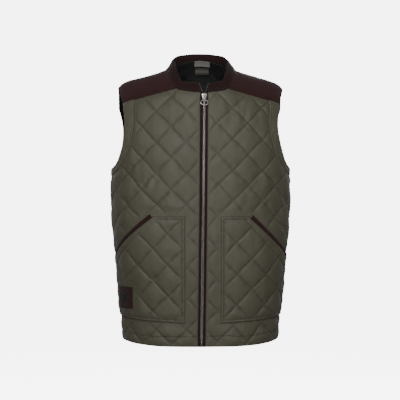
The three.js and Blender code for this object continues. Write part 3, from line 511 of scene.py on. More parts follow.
def yoke_seam(face, share):
    """Half width and sweep along a yoke seam, by the share of the way to the armhole."""
    arm_x, arm_z = YOKE_END[face]
    neck_x, neck_sweep = neck_place(YOKE_NECK_SHARE)
    start_x = neck_x if face == "front" else 0
    start_z = YOKE_CENTRE_BACK_Z
    if face == "front":
        start_z = arch_point(neck_x, neck_sweep)[2]
    x = mix(start_x, arm_x, share)
    return x, sweep_at(face, x, mix(start_z, arm_z, share))


def armhole_lines(face, count):
    """Armhole edge and band line in the pattern, from the yoke seam to the side seam."""
    end_x, end_sweep = yoke_seam(face, 1.0)
    girth = float(half_girth(face, UNDERARM_Z))
    points = [flat_place(end_x, end_sweep)]
    points += [(float(length_at_width(face, x)), z) for x, z in ARMHOLE[face]]
    curve = catmull([*points, (girth, UNDERARM_Z)], 1201)
    lengths = run_lengths(curve)
    shares = np.linspace(0, 1, count + 1)
    edge, ahead, behind = (
        points_along(curve, lengths, np.clip(shares + nudge, 0, 1) * lengths[-1])
        for nudge in (0, 0.002, -0.002)
    )
    along = unit(ahead - behind)
    width = mix(BAND_WIDTH_TOP, BAND_WIDTH_UNDERARM, smooth(shares))[:, None]
    line = edge + np.stack([along[:, 1], -along[:, 0]], 1) * width
    start_x, _ = yoke_seam(face, 0.0)
    band_share = (end_x - BAND_WIDTH_TOP - start_x) / (end_x - start_x)
    top_x, top_sweep = yoke_seam(face, band_share)
    line[0] = flat_place(top_x, top_sweep)
    low = UNDERARM_Z - BAND_WIDTH_UNDERARM
    line[-1] = (float(half_girth(face, low)), low)
    return edge, line, band_share


ARMHOLE_LINES = {face: armhole_lines(face, STATIONS) for face in ("front", "back")}


def body_edges(face):
    """Yoke seam, band seam and side seam of the right half in the pattern."""
    edge, line, band_share = ARMHOLE_LINES[face]
    yoke = []
    for share in np.arange(6) / 6:
        x, sweep = yoke_seam(face, share * band_share)
        u, z = flat_place(x, sweep)
        yoke.append((u, z - SEAM_GAP))
    away = unit(line - edge) * SEAM_GAP
    band = line + away
    band[0, 1] -= SEAM_GAP
    low = band[-1, 1]
    levels = np.linspace(low, HEM_Z, 17)
    side = [(float(half_girth(face, z)) + TUCK, float(z)) for z in levels]
    return yoke, [tuple(map(float, p)) for p in band[:-1]], side


def front_outline(side):
    """Pattern outline of a front, side being -1 on the image's left."""
    yoke, band, seam = body_edges("front")
    neck = []
    for index in range(9):
        x, sweep = neck_place(index / NECK_STEPS)
        u, z = flat_place(x, sweep)
        if u > FRONT_EDGE + 3 + side * ZIP_CENTRE_TOP:
            neck.append((u, z - SEAM_GAP))
    top_sweep = neck_place(1 / NECK_STEPS)[1]
    top_z = flat_place(ZIP_TOP_X, top_sweep)[1] - SEAM_GAP
    start = (FRONT_EDGE + side * zip_centre(HEM_Z), HEM_Z)
    top = (FRONT_EDGE + side * zip_centre(ZIP_TOP_Z), top_z)
    return [(side * u, z) for u, z in [start, top, *neck, *yoke, *band, *seam]]


def back_outline():
    """Pattern outline of the back."""
    yoke, band, seam = body_edges("back")
    half = [*yoke[1:], *band, *seam]
    return [yoke[0], *half, *[(-u, z) for u, z in reversed(half)]]


def side_name(side):
    """Name of a side in the image."""
    return "left" if side < 0 else "right"


def pocket_mouth(side, share, down, below):
    """Pattern point on a pocket's mouth, by the share of the binding's width and a distance below it."""
    name = side_name(side)
    start = np.array([POCKET["top_end_" + name], POCKET["mouth_top_" + name]], float)
    end_z = POCKET["mouth_end_" + name]
    end = np.array([half_girth("front", end_z) - SEAM_GAP, end_z])
    along = unit(end - start)
    width = mix(POCKET["binding_top"], POCKET["binding_side"], share)
    bow = POCKET["bow_" + name] * np.sin(math.pi * share) - down * width - below
    u = mix(start[0], end[0], share) - along[1] * bow
    z = mix(start[1], end[1], share) + along[0] * bow
    return side * u, z


def pocket_outline(side):
    """Pattern outline of a pocket below its binding."""
    inner = side * POCKET["inner_" + side_name(side)]
    shares = np.arange(13) / 12
    mouth_u, mouth_z = pocket_mouth(side, shares, 1, SEAM_GAP)
    girth = half_girth("front", mouth_z)
    mouth = [
        (float(u), float(z)) for u, z, g in zip(mouth_u, mouth_z, girth)
        if z < POCKET["top"] - 1 and abs(u) < g - 2
    ]
    levels = np.linspace(mouth_z[-1] - 1, POCKET["bottom_side"], 7)
    seam = [(side * (float(half_girth("front", z)) - SEAM_GAP), float(z)) for z in levels]
    corner_u = POCKET["top_end_" + side_name(side)] - POCKET["binding_top"] * POCKET["corner_share"]
    corner = (side * corner_u, POCKET["top"])
    return [(inner, POCKET["bottom_inner"]), (inner, POCKET["top"]), corner, *mouth, *seam]


def pocket_footprint(side):
    """Pattern outline of a pocket and its binding together."""
    inner = side * POCKET["inner_" + side_name(side)]
    u, z = pocket_mouth(side, np.arange(13) / 12, 0, 0)
    bottom = (side * (float(half_girth("front", POCKET["bottom_side"])) - SEAM_GAP), POCKET["bottom_side"])
    return [(inner, POCKET["bottom_inner"]), (inner, POCKET["top"]), *zip(u.tolist(), z.tolist()), bottom]


def patch_outline():
    """Pattern outline of the patch label with a margin."""
    half_width = PATCH["width"] / 2 + 1
    half_height = PATCH["height"] / 2 + 1
    corners = ((-1, -1), (1, -1), (1, 1), (-1, 1))
    return [(PATCH["u"] + a * half_width, PATCH["z"] + b * half_height) for a, b in corners]


def distance_to(line, u, z, closed=False):
    """Distance from pattern points to a line of points."""
    ends = [*line[1:], line[0]] if closed else line[1:]
    nearest = np.full(np.shape(u), 1e9)
    for (au, az), (bu, bz) in zip(line, ends):
        du, dz = bu - au, bz - az
        t = np.clip(((u - au) * du + (z - az) * dz) / max(du * du + dz * dz, 1e-9), 0, 1)
        nearest = np.minimum(nearest, np.hypot(u - au - du * t, z - az - dz * t))
    return nearest


def is_inside(outline, u, z):
    """Whether pattern points lie inside an outline."""
    odd = np.zeros(np.shape(u), bool)
    for (au, az), (bu, bz) in zip(outline, [*outline[1:], outline[0]]):
        if az == bz:
            continue
        crosses = ((az > z) != (bz > z)) & (u < au + (bu - au) * (z - az) / (bz - az))
        odd ^= crosses
    return odd


def diamond_puff(a, b):
    """How far the padding stands up in a diamond: 0 on the stitch lines and 1 in the middle."""
    return np.abs(np.sin(math.pi * a) * np.sin(math.pi * b)) ** PUFF_POWER


def quilt_place(crossing, u, z):
    """Place across the two families of stitch lines, whole numbers lying on a line."""
    across = (u - crossing[0]) / DIAMOND_WIDTH
    up = (z - crossing[1]) / DIAMOND_HEIGHT
    return across + up, across - up


def make_panels():
    """Every quilted panel with its outline, edges that are stitched and what presses on it."""
    hem = [(-OUT_OF_REACH, HEM_Z + HEM_STITCH), (OUT_OF_REACH, HEM_Z + HEM_STITCH)]
    panels = {}
    for side in (-1, 1):
        name = side_name(side)
        pocket = pocket_outline(side)
        top_row = [pocket[-1], pocket[0], pocket[1], pocket[2]]
        inner = abs(pocket[0][0]) + POCKET_STITCH
        top = POCKET["top"] - POCKET_STITCH
        second = [
            (side * OUT_OF_REACH, POCKET["bottom_side"] + POCKET_STITCH + 2),
            (side * inner, POCKET["bottom_inner"] + POCKET_STITCH),
            (side * inner, top),
            (side * (POCKET["top_end_" + name] - 14), top),
        ]
        panels["front_" + name] = {
            "face": "front", "outline": front_outline(side), "lift": 0, "pressed": [pocket_footprint(side)],
            "rows": [hem], "margin": 0, "inner": True,
        }
        panels["pocket_" + name] = {
            "face": "front", "outline": pocket, "lift": WALL + PATCH_GAP,
            "pressed": [patch_outline()] if side < 0 else [], "rows": [top_row, second],
            "margin": 7, "inner": False,
        }
    panels["back"] = {
        "face": "back", "outline": back_outline(), "lift": 0, "pressed": [], "rows": [hem],
        "margin": 0, "inner": True,
    }
    return panels


PANELS = make_panels()


def quilt_fade(panel, u, z):
    """How far the padding is free to stand up: 0 at edges and under what is sewn on."""
    edge = distance_to(panel["outline"], u, z, closed=True)
    fade = smooth((edge - panel["margin"]) / EDGE_FADE)
    for press in panel["pressed"]:
        over = is_inside(press, u, z)
        fade = fade * np.where(over, 0, smooth(distance_to(press, u, z, closed=True) / PRESS_FADE))
    return fade, edge


def crease_depth(name, u, z):
    """Hanging creases of a panel."""
    total = np.zeros(np.shape(u))
    for u0, z0, u1, z1, width, depth in CREASES[name]:
        along = np.array([u1 - u0, z1 - z0])
        share = ((u - u0) * along[0] + (z - z0) * along[1]) / np.sum(along**2)
        t = np.clip(share, 0, 1)
        bend = 5 * np.sin(math.pi * t * 1.3) + 2 * soft_noise(z / 21, u * 0, u0)
        off = np.hypot(u - u0 - along[0] * t - bend, z - z0 - along[1] * t)
        fading = np.sin(math.pi * np.clip(share, 0.02, 0.98)) ** 0.7
        total += depth * bell(off, width) * fading
    return total


def panel_place(name, u, z, height):
    """Place on a quilted panel, whose stitch lines wander a little between its edges."""
    panel = PANELS[name]
    free = smooth((distance_to(panel["outline"], u, z, closed=True) - panel["margin"] - 3) / 20)
    across = u + free * WANDER * soft_noise(u / 33, z / 35, 71)
    up = z + free * WANDER * soft_noise(u / 31, z / 37, 73)
    return body_offset(panel["face"], across, up, height)


def seam_mark(name, flat):
    """How near a panel's points are to topstitching and to the panel's edge."""
    panel = PANELS[name]
    u, z = flat[:, 0], flat[:, 1]
    row = np.zeros(len(u))
    for line in panel["rows"]:
        row = np.maximum(row, bell(distance_to(line, u, z), 1.5))
    edge = bell(distance_to(panel["outline"], u, z, closed=True), 1.6)
    return np.stack([row, edge, 0 * row], 1)


def chest_flatness(u, z):
    """Where the padding lies flat beside the zip at the chest."""
    return bell(u - 30, 80) * bell(z + 290, 95)


def panel_height(name, u, z):
    """Height of a quilted panel's outer face over the body."""
    panel, sizes = PANELS[name], bpy.context.scene.vest_sizes
    fade, edge = quilt_fade(panel, u, z)
    a, b = quilt_place(CROSSING[name], u, z)
    puff = diamond_puff(a, b)
    if panel["face"] == "front" and panel["lift"] == 0:
        puff = puff * (1 - 0.65 * chest_flatness(u, z))
    off_a = np.abs(a - np.round(a)) * LINE_SPACING
    off_b = np.abs(b - np.round(b)) * LINE_SPACING
    uneven = 1 + 0.22 * soft_noise(a * 0.9, b * 0.9, 5)
    rise = sizes.puff / MM * puff * uneven
    rise -= sizes.stitch_depth / MM * (bell(off_a, VALLEY_WIDTH) + bell(off_b, VALLEY_WIDTH))
    pucker = soft_noise(b * LINE_SPACING / 7, a * 1.7, 7) * bell(off_a, GATHER_REACH)
    pucker += soft_noise(a * LINE_SPACING / 7, b * 1.7, 11) * bell(off_b, GATHER_REACH)
    pucker += 0.8 * soft_noise(u / 13, z / 24, 13)
    rise += sizes.pucker / MM * pucker
    height = panel["lift"] + WALL + rise * fade
    height += crease_depth(name, u, z) * np.maximum(fade, 0.15 if panel["lift"] == 0 else 0)
    for row in panel["rows"]:
        near = distance_to(row, u, z)
        height += 0.55 * soft_noise(u / 7, z / 7, 19) * bell(near, 9) * smooth(edge / 5)
        height -= 0.8 * bell(near, 1.4)
    edge_wave = 0.35 * soft_noise(u / 9, z / 9, 17) * (1 - fade)
    height += edge_wave * smooth(edge / 4) - turned_edge(edge, 1.3, 2.2)
    return np.maximum(height, panel["lift"] + LEAST_WALL)


def add_object(name, mesh, body=BODY):
    """Puts a mesh into the scene on one of the vest's bodies."""
    obj = bpy.data.objects.new(name, mesh)
    bpy.context.collection.objects.link(obj)
    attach(obj, body)
    return obj


def smooth_mesh(name, bm, finish):
    """Makes a smooth mesh of one finish."""
    for face in bm.faces:
        face.smooth = True
    mesh = bpy.data.meshes.new(name)
    bm.to_mesh(mesh)
    bm.free()
    mesh.materials.append(finish)
    return mesh


def from_edge(share, size):
    """Distance to the nearer of two opposite edges, by the share of the way between them."""
    return np.minimum(share, 1 - share) * size


def turned_edge(edge, drop, reach):
    """How far a face turns down at a cut edge."""
    return drop * (1 - smooth(edge / reach))


def groove(edge):
    """How deep topstitching pulls in along a seam."""
    return GROOVE_DEPTH * bell(edge - SEAM_STITCH, GROOVE_WIDTH)


def seam_values(row, edge):
    """How near points are to topstitching and to an edge."""
    return np.stack([bell(row, GROOVE_WIDTH + 0.2), bell(edge, GROOVE_WIDTH + 0.2), 0 * row], 1)


def spread(across, along):
    """Gives a grid's cloth its size in millimetres."""
    return {"cloth": lambda flat: flat * (across, along, 1)}


class Cloth:
    """A flat sheet in a bmesh that becomes a wall with an outer and an inner face."""

    def __init__(self):
        self.bm = bmesh.new()

    def cut(self, point, normal):
        """Cuts every face along a line of the sheet."""
        everything = self.bm.verts[:] + self.bm.edges[:] + self.bm.faces[:]
        bmesh.ops.bisect_plane(
            self.bm, geom=everything, dist=1e-4, plane_co=(*point, 0), plane_no=(*normal, 0)
        )

    def from_outline(self, outline, rings):
        """Starts the sheet from its cut outline, with rings of faces along the edge."""
        face = self.bm.faces.new([self.bm.verts.new((u, z, 0)) for u, z in outline])
        for width in rings:
            bmesh.ops.inset_region(
                self.bm, faces=[face], thickness=width, use_even_offset=True, use_boundary=True
            )
        return self

    def from_grid(self, columns, rows):
        """Starts the sheet as a grid over shares from 0 to 1."""
        bmesh.ops.create_grid(self.bm, x_segments=columns, y_segments=rows, size=0.5)
        bmesh.ops.translate(self.bm, vec=(0.5, 0.5, 0), verts=self.bm.verts[:])
        return self

    def finish(self, name, outer, inner, materials, marks=None):
        """Gives the sheet its wall, lays both faces in place and makes the object."""
        bm = self.bm
        top = bmesh.ops.extrude_face_region(bm, geom=bm.faces[:])
        raised = [e for e in top["geom"] if isinstance(e, bmesh.types.BMVert)]
        bmesh.ops.translate(bm, vec=(0, 0, 1), verts=raised)
        bmesh.ops.recalc_face_normals(bm, faces=bm.faces[:])
        flat = np.array([v.co[:] for v in bm.verts])
        is_outer = flat[:, 2] > 0.5
        placed = np.empty_like(flat)
        placed[is_outer] = outer(flat[is_outer, 0], flat[is_outer, 1])
        placed[~is_outer] = inner(flat[~is_outer, 0], flat[~is_outer, 1])
        for vert, place in zip(bm.verts, placed * MM):
            vert.co = place
        for face in bm.faces:
            face.smooth = True
            face.material_index = 0 if any(is_outer[v.index] for v in face.verts) else len(materials) - 1
        if bm.calc_volume(signed=True) < 0:
            bmesh.ops.reverse_faces(bm, faces=bm.faces[:])
        return self.to_object(name, materials, marks, flat)

    def to_object(self, name, materials, marks, flat):
        """Makes the object and keeps the pattern's places as attributes."""
        mesh = bpy.data.meshes.new(name + "_sewn")
        self.bm.to_mesh(mesh)
        self.bm.free()
        for key, values in {"cloth": (lambda p: p), **(marks or {})}.items():
            attribute = mesh.attributes.new(key, "FLOAT_VECTOR", "POINT")
            attribute.data.foreach_set("vector", np.ascontiguousarray(values(flat), np.float32).ravel())
        for material in materials:
            mesh.materials.append(material)
        return add_object(name + "_sewn", mesh)


def dress(obj, slot, *nodes):
    """Hides the solids that a piece stands for; the finish's slot is not used."""
    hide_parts(*nodes)


class Value:
    """A shader socket that takes part in Python expressions."""

    def __init__(self, paint, socket):
        self.paint = paint
        self.socket = socket

    def math(self, operation, *others):
        """Adds a Math node that starts from this value."""
        return self.paint.node("ShaderNodeMath", {"operation": operation}, [self, *others])

    def __add__(self, other):
        return self.math("ADD", other)

    def __sub__(self, other):
        return self.math("SUBTRACT", other)

    def __mul__(self, other):
        return self.math("MULTIPLY", other)

    def __rsub__(self, other):
        return self.paint.node("ShaderNodeMath", {"operation": "SUBTRACT"}, [other, self])

    __radd__ = __add__
    __rmul__ = __mul__


class Paint:
    """A material under construction."""

    def __init__(self, name, constants):
        self.material = bpy.data.materials.new(name)
        self.material.use_nodes = True
        self.tree = self.material.node_tree
        self.shader = self.tree.nodes["Principled BSDF"]
        for socket, value in constants.items():
            self.shader.inputs[socket].default_value = value

    def node(self, kind, settings=None, inputs=(), output=0):
        """Adds a node, sets it up and feeds its sockets with values or links."""
        node = self.tree.nodes.new(kind)
        for key, value in (settings or {}).items():
            setattr(node, key, value)
        named = inputs.items() if isinstance(inputs, dict) else enumerate(inputs)
        for key, value in named:
            self.feed(node.inputs[key], value)
        return Value(self, node.outputs[output])

    def feed(self, socket, value):
        """Links a socket or sets it."""
        if isinstance(value, Value):
            self.tree.links.new(value.socket, socket)
        else:
            socket.default_value = value

    def attribute(self, name):
        """Reads one of the piece's own attributes as a vector."""
        return self.node("ShaderNodeAttribute", {"attribute_name": name}, output="Vector")

    def axis(self, vector, index):
        """One axis of a vector."""
        return self.node("ShaderNodeSeparateXYZ", None, [vector], output=index)

    def scaled(self, vector, scale):
        """A vector with each axis scaled."""
        return self.node("ShaderNodeVectorMath", {"operation": "MULTIPLY"}, [vector, scale])

    def noise(self, vector, scale, detail=2.0, roughness=0.5):
        """Cloudy unevenness between 0 and 1."""
        inputs = {"Vector": vector, "Scale": scale, "Detail": detail, "Roughness": roughness}
        return self.node("ShaderNodeTexNoise", None, inputs)

    def shade(self, colour, mask, other):
        """Mixes one colour towards another."""
        settings = {"data_type": "RGBA"}
        return self.node("ShaderNodeMix", settings, {0: mask, 6: colour, 7: other}, output=2)

    def span(self, value, low, high, to_low=0.0, to_high=1.0):
        """Maps a range of values onto another."""
        return self.node("ShaderNodeMapRange", None, [value, low, high, to_low, to_high])

    def painted_seam_shade(self, base, colour):
        """Darkens a colour with painted shade along topstitching and sewn edges."""
        seam = self.attribute("seam")
        # Painted shade: stronger in the topstitching grooves, weaker along sewn edges
        near = (self.axis(seam, 0) * 0.6).math("MAXIMUM", self.axis(seam, 1) * 0.35)
        return self.shade(base, near, tone(colour, 0.4))

    def use(self, socket, value):
        """Feeds one of the shader's sockets."""
        self.feed(self.shader.inputs[socket], value)

    def bump(self, *layers):
        """Stacks bump layers of height, distance and strength, and feeds the normal."""
        normal = None
        for height, distance, strength in layers:
            inputs = {"Height": height, "Distance": distance, "Strength": strength}
            if normal is not None:
                inputs["Normal"] = normal
            normal = self.node("ShaderNodeBump", None, inputs)
        self.use("Normal", normal)


def tone(colour, factor):
    """A colour made darker or lighter."""
    return (*(c * factor for c in colour[:3]), 1.0)


def weave(paint, cloth, threads):
    """Height of a plain weave, threads to a millimetre."""
    pitch = 2 * math.pi * threads
    across = (paint.axis(cloth, 0) * pitch).math("SINE")
    along = (paint.axis(cloth, 1) * pitch).math("SINE")
    return across * along


def quilted_cloth(name, colour, stitched):
    """Lightly shiny woven shell, with its quilting thread and painted shade in the valleys where it is
    stitched.
    """
    paint = Paint(name, {"Sheen Weight": 0.12, "Sheen Roughness": 0.4, "Specular IOR Level": 0.42})
    cloth = paint.attribute("cloth")
    cloud = paint.noise(cloth, 0.022, 3)
    fibre = paint.noise(paint.scaled(cloth, (1, 0.28, 1)), 0.9, 2)
    base = paint.shade(tone(colour, 0.88), cloud, tone(colour, 1.12))
    base = paint.shade(base, fibre * 0.35, tone(colour, 0.8))
    # Painted shade along topstitching and sewn edges
    base = paint.painted_seam_shade(base, colour)
    ripple = paint.noise(paint.scaled(cloth, (1, 0.5, 1)), 0.16, 3, 0.6)
    layers = [(ripple, 0.0011, 0.5), (weave(paint, cloth, 1.1), 0.00012, 0.35)]
    if stitched:
        quilt = paint.attribute("quilt")
        a, b, free = (paint.axis(quilt, k) for k in range(3))
        off_a, off_b = (((k + 0.5).math("FRACT") - 0.5).math("ABSOLUTE") * LINE_SPACING for k in (a, b))
        near_a, near_b = (paint.span(off, 0.35, 1.1, 1, 0) for off in (off_a, off_b))
        dash_a, dash_b = (
            paint.span((k * (LINE_SPACING / 3.6)).math("FRACT"), 0.66, 0.74, 1, 0) for k in (b, a)
        )
        # Painted shade in the quilting valleys, darkest on the stitch lines
        valley_shade = paint.span(off_a.math("MINIMUM", off_b), 0.3, 3.2, 1, 0) * free
        thread = (near_a * dash_a).math("MAXIMUM", near_b * dash_b) * free
        base = paint.shade(base, valley_shade * 0.42, tone(colour, 0.45))
        layers.append((thread, 0.0004, 0.6))
    paint.use("Base Color", base)
    paint.use("Roughness", paint.span(cloud, 0.3, 0.7, 0.58, 0.7))
    paint.bump(*layers)
    return paint.material


def canvas_cloth(name, colour, threads=0.8, roughness=0.85):
    """Matt, tightly woven cloth."""
    paint = Paint(name, {"Sheen Weight": 0.06, "Sheen Roughness": 0.55, "Specular IOR Level": 0.2})
    cloth = paint.attribute("cloth")
    cloud = paint.noise(cloth, 0.03, 3)
    slub = paint.noise(paint.scaled(cloth, (0.3, 1.6, 1)), 0.6, 2)
    base = paint.shade(tone(colour, 0.84), cloud, tone(colour, 1.16))
    base = paint.shade(base, slub * 0.4, tone(colour, 1.35))
    # Painted shade along topstitching and sewn edges
    base = paint.painted_seam_shade(base, colour)
    paint.use("Base Color", base)
    paint.use("Roughness", paint.span(slub, 0.2, 0.8, roughness - 0.08, roughness + 0.06))
    ripple = paint.noise(cloth, 0.12, 3, 0.6)
    paint.bump((ripple, 0.0012, 0.5), (weave(paint, cloth, threads), 0.0002, 0.5))
    return paint.material


def thread_cloth(name, colour):
    """Twisted sewing thread."""
    paint = Paint(name, {"Roughness": 0.6, "Specular IOR Level": 0.35, "Sheen Weight": 0.15})
    place = paint.node("ShaderNodeTexCoord", output="Object")
    paint.use("Base Color", paint.shade(tone(colour, 0.8), paint.noise(place, 900.0), tone(colour, 1.15)))
    return paint.material


def bright_metal(name, colour, roughness):
    """Plated zip metal with small scuffs."""
    paint = Paint(name, {"Metallic": 1.0})
    place = paint.node("ShaderNodeTexCoord", output="Object")
    cloud = paint.noise(place, 260.0, 3)
    paint.use("Base Color", paint.shade(tone(colour, 0.75), cloud, tone(colour, 1.1)))
    paint.use("Roughness", paint.span(cloud, 0.3, 0.7, roughness - 0.07, roughness + 0.12))
    paint.bump((paint.noise(place, 900.0), 0.0001, 0.3))
    return paint.material


def zip_teeth_metal(name, colour):
    """Zip teeth, bright at the chest and darker towards the hem with painted shade."""
    paint = Paint(name, {"Metallic": 1.0})
    place = paint.node("ShaderNodeTexCoord", output="Object")
    # Painted shade: the teeth below the chest are darker
    low = paint.span(paint.axis(place, 2), -0.36, -0.28, 1, 0)
    grain = paint.noise(place, 420.0)
    plating_with_painted_shade = paint.shade(tone(colour, 0.42), low, tone(colour, 0.27))
    paint.use("Base Color", paint.shade(plating_with_painted_shade, grain * 0.4, tone(colour, 0.189)))
    paint.use("Roughness", paint.span(grain, 0.3, 0.7, 0.26, 0.42))
    return paint.material


def label_cloth(name, colour, band_tone):
    """Woven label with a plain band across its middle."""
    paint = Paint(name, {"Roughness": 0.75, "Specular IOR Level": 0.2})
    cloth = paint.attribute("cloth")
    from_middle = (paint.axis(cloth, 1) - 0.5).math("ABSOLUTE")
    band = paint.span(from_middle, 0.2, 0.24, 1, 0)
    paint.use("Base Color", paint.shade(tone(colour, 1), band, tone(colour, band_tone)))
    paint.bump((weave(paint, paint.scaled(cloth, (40, 20, 1)), 0.9), 0.00015, 0.4))
    return paint.material


# Maker of each finish, its colour and the colour's tone, and what else the maker takes
FINISHES = {
    "shell_quilted": (quilted_cloth, "shell", 1, True),
    # Plain shell: the shell colour made lighter as painted light, for the armhole bands and the pockets'
    # inner faces
    "shell_plain": (quilted_cloth, "shell", 1.12, False),
    "lining_satin": (quilted_cloth, "lining", 1, False),
    "contrast_canvas": (canvas_cloth, "contrast", 1),
    # Collar: the contrast cloth in a darker colour, painted shade for its steep sides
    "collar_canvas": (canvas_cloth, "collar", 1),
    "binding_tape": (canvas_cloth, "contrast", 0.8, 1.0),
    "tape_twill": (canvas_cloth, "contrast", 0.55, 1.2),
    "patch_inset": (canvas_cloth, "inset", 1, 1.6, 0.6),
    "label_grey": (label_cloth, "label", 1, 0.9),
    "label_banded": (label_cloth, "label", 0.2, 2.1),
    "shell_thread": (thread_cloth, "shell", 0.62),
    "contrast_thread": (thread_cloth, "contrast", 0.75),
    "plated_metal": (bright_metal, "metal", 0.62, 0.34),
    "dull_metal": (bright_metal, "metal", 0.16, 0.45),
    "box_metal": (bright_metal, "metal", 0.11, 0.45),
    "ring_metal": (bright_metal, "metal", 0.17, 0.38),
    "teeth_metal": (zip_teeth_metal, "metal", 1),
}


def material(name):
    """A finish of the vest by name, made once."""
    if name in bpy.data.materials:
        return bpy.data.materials[name]
    maker, colour, factor, *more = FINISHES[name]
    return maker(name, tone(getattr(bpy.context.scene.vest_colours, colour), factor), *more)


def length(name, description, default):
    """Property that holds a length in metres."""
    return bpy.props.FloatProperty(name=name, description=description, default=default, unit="LENGTH")


def dye(name, description, default):
    """Property that holds a colour."""
    return bpy.props.FloatVectorProperty(
        name=name, description=description, default=default, subtype="COLOR"
    )


def lamp(name, description, default):
    """Property that holds the power of a light."""
    return bpy.props.FloatProperty(name=name, description=description, default=default, unit="POWER")


class VestSizes(bpy.types.PropertyGroup):
    """Sizes of the vest's finer form"""

    puff: length("Puff", "How far a diamond's middle stands up", 0.0029)
    stitch_depth: length("Stitch depth", "How deep a quilting line pulls in", 0.0009)
    pucker: length("Pucker", "Height of the small gathers along stitching", 0.0008)
    stitch_length: length("Stitch length", "Length of one topstitch", 0.0026)
    stitch_gap: length("Stitch gap", "Gap between two topstitches", 0.0009)
    thread: length("Thread", "Radius of the sewing thread", 0.0003)
    tooth_pitch: length("Tooth pitch", "Distance between teeth on one side of the zip", 0.0027)


class VestColours(bpy.types.PropertyGroup):
    """Colours and light of the vest"""

    shell: dye("Shell", "Quilted cloth", (0.0575, 0.0535, 0.0345))
    contrast: dye("Contrast", "Yokes, bindings and patch", (0.0235, 0.0062, 0.0066))
    # Collar colour: the contrast cloth darkened as painted shade
    collar: dye("Collar", "Collar's tighter, darker cloth", (0.0112, 0.002, 0.0021))
    lining: dye("Lining", "Cloth on the inside", (0.0018, 0.0022, 0.0026))
    label: dye("Label", "Labels inside the neck", (0.19, 0.177, 0.16))
    inset: dye("Inset", "Inset of the patch label", (0.006, 0.006, 0.007))
    metal: dye("Metal", "Zip metal", (0.72, 0.68, 0.65))
    key_power: lamp("Key light", "Power of the main softbox", 60.0)
    fill_power: lamp("Fill light", "Power of the lower softbox", 14.0)


class VEST_OT_quilted_panels(bpy.types.Operator):
    """Cuts, quilts and hangs the fronts, the back and the patch pockets"""

    bl_idname = "vest.quilted_panels"
    bl_label = "Quilted panels"

    def execute(self, context):
        for name, panel in PANELS.items():
            self.build(name, panel)
        return {"FINISHED"}

    def build(self, name, panel):
        """Makes one quilted panel."""
        outline = panel["outline"]
        cloth = Cloth().from_outline(outline, POCKET_RINGS if panel["margin"] else EDGE_RINGS)
        crossing = CROSSING[name]
        u, z = np.array(outline).T
        for family, sign in ((0, 1), (1, -1)):
            places = quilt_place(crossing, u, z)[family]
            for whole in range(math.floor(places.min()), math.ceil(places.max()) + 1):
                for part in CELL_CUTS:
                    point = (crossing[0] + (whole + part) * DIAMOND_WIDTH, crossing[1])
                    cloth.cut(point, (1 / DIAMOND_WIDTH, sign / DIAMOND_HEIGHT))
        if panel["inner"]:
            for step in STITCH_CUTS:
                cloth.cut((0, HEM_Z + HEM_STITCH + step), (0, 1))

        def outer(us, zs):
            return panel_place(name, us, zs, panel_height(name, us, zs))

        def inner(us, zs):
            fade, _ = quilt_fade(panel, us, zs)
            drop = diamond_puff(*quilt_place(crossing, us, zs)) * fade * panel["inner"]
            return panel_place(name, us, zs, panel["lift"] - drop)

        def quilt_mark(flat):
            a, b = quilt_place(crossing, flat[:, 0], flat[:, 1])
            fade, edge = quilt_fade(panel, flat[:, 0], flat[:, 1])
            shown = 1 - 0.5 * chest_flatness(flat[:, 0], flat[:, 1]) * name.startswith("front")
            return np.stack([a, b, smooth(edge / 3) * (fade > 0.02) * shown], 1)

        materials = [material("shell_quilted"), material("lining_satin" if panel["inner"] else "shell_plain")]
        marks = {"quilt": quilt_mark, "seam": lambda flat: seam_mark(name, flat)}
        obj = cloth.finish(name, outer, inner, materials, marks)
        dress(obj, "quilted_shell", name)


class VEST_OT_pocket_trim(bpy.types.Operator):
    """Sews the bindings on the pocket mouths and the patch label near the hem"""

    bl_idname = "vest.pocket_trim"
    bl_label = "Pocket bindings and patch"

    def execute(self, context):
        for side in (-1, 1):
            self.binding(side)
        self.patch()
        return {"FINISHED"}

    def binding(self, side):
        """Rounded strip folded over a pocket's mouth."""
        name = "pocket_binding_" + side_name(side)
        lift = WALL + PATCH_GAP

        def place(height):
            def at(share, across):
                u, z = pocket_mouth(side, np.clip(share, 0.005, 0.985), across, 0)
                crown = np.sqrt(np.clip(1 - (2 * across - 1) ** 2, 0.04, 1))
                pucker = 0.3 * soft_noise(share * 26, across * 2, 21)
                top = lift + (BAND_WALL + pucker) * mix(0.45, 1, crown)
                return body_offset("front", u, z, top if height else np.full_like(u, lift))
            return at

        cloth = Cloth().from_grid(90, 6)
        obj = cloth.finish(name, place(1), place(0), [material("binding_tape")], spread(198, 9))
        dress(obj, "contrast", name)
        under = ["front_" + side_name(side)]

    def patch(self):
        """Patch label with a bare dark inset."""
        def place(shares, lift):
            def at(a, b):
                u = PATCH["u"] + (mix(shares[0], shares[1], a) - 0.5) * PATCH["width"]
                z = PATCH["z"] + (mix(shares[2], shares[3], b) - 0.5) * PATCH["height"]
                edge = np.minimum(from_edge(a, 1), from_edge(b, 1))
                wave = 0.35 * soft_noise(u / 12, z / 12, 23) - turned_edge(edge, 0.7, 0.04)
                return body_offset("front", u, z, lift + wave * (lift > PATCH_LIFT))
            return at

        whole, inset = (0, 1, 0, 1), (0.1, 0.62, 0.34, 0.72)
        top = PATCH_LIFT + PATCH["wall"]
        cloth = spread(PATCH["width"], PATCH["height"])
        obj = Cloth().from_grid(36, 38).finish(
            "patch_label", place(whole, top), place(whole, PATCH_LIFT), [material("binding_tape")], cloth
        )
        dress(obj, "contrast", "patch_label")
        obj = Cloth().from_grid(16, 14).finish(
            "patch_inset", place(inset, top + 0.75), place(inset, top + 0.1), [material("patch_inset")], cloth
        )


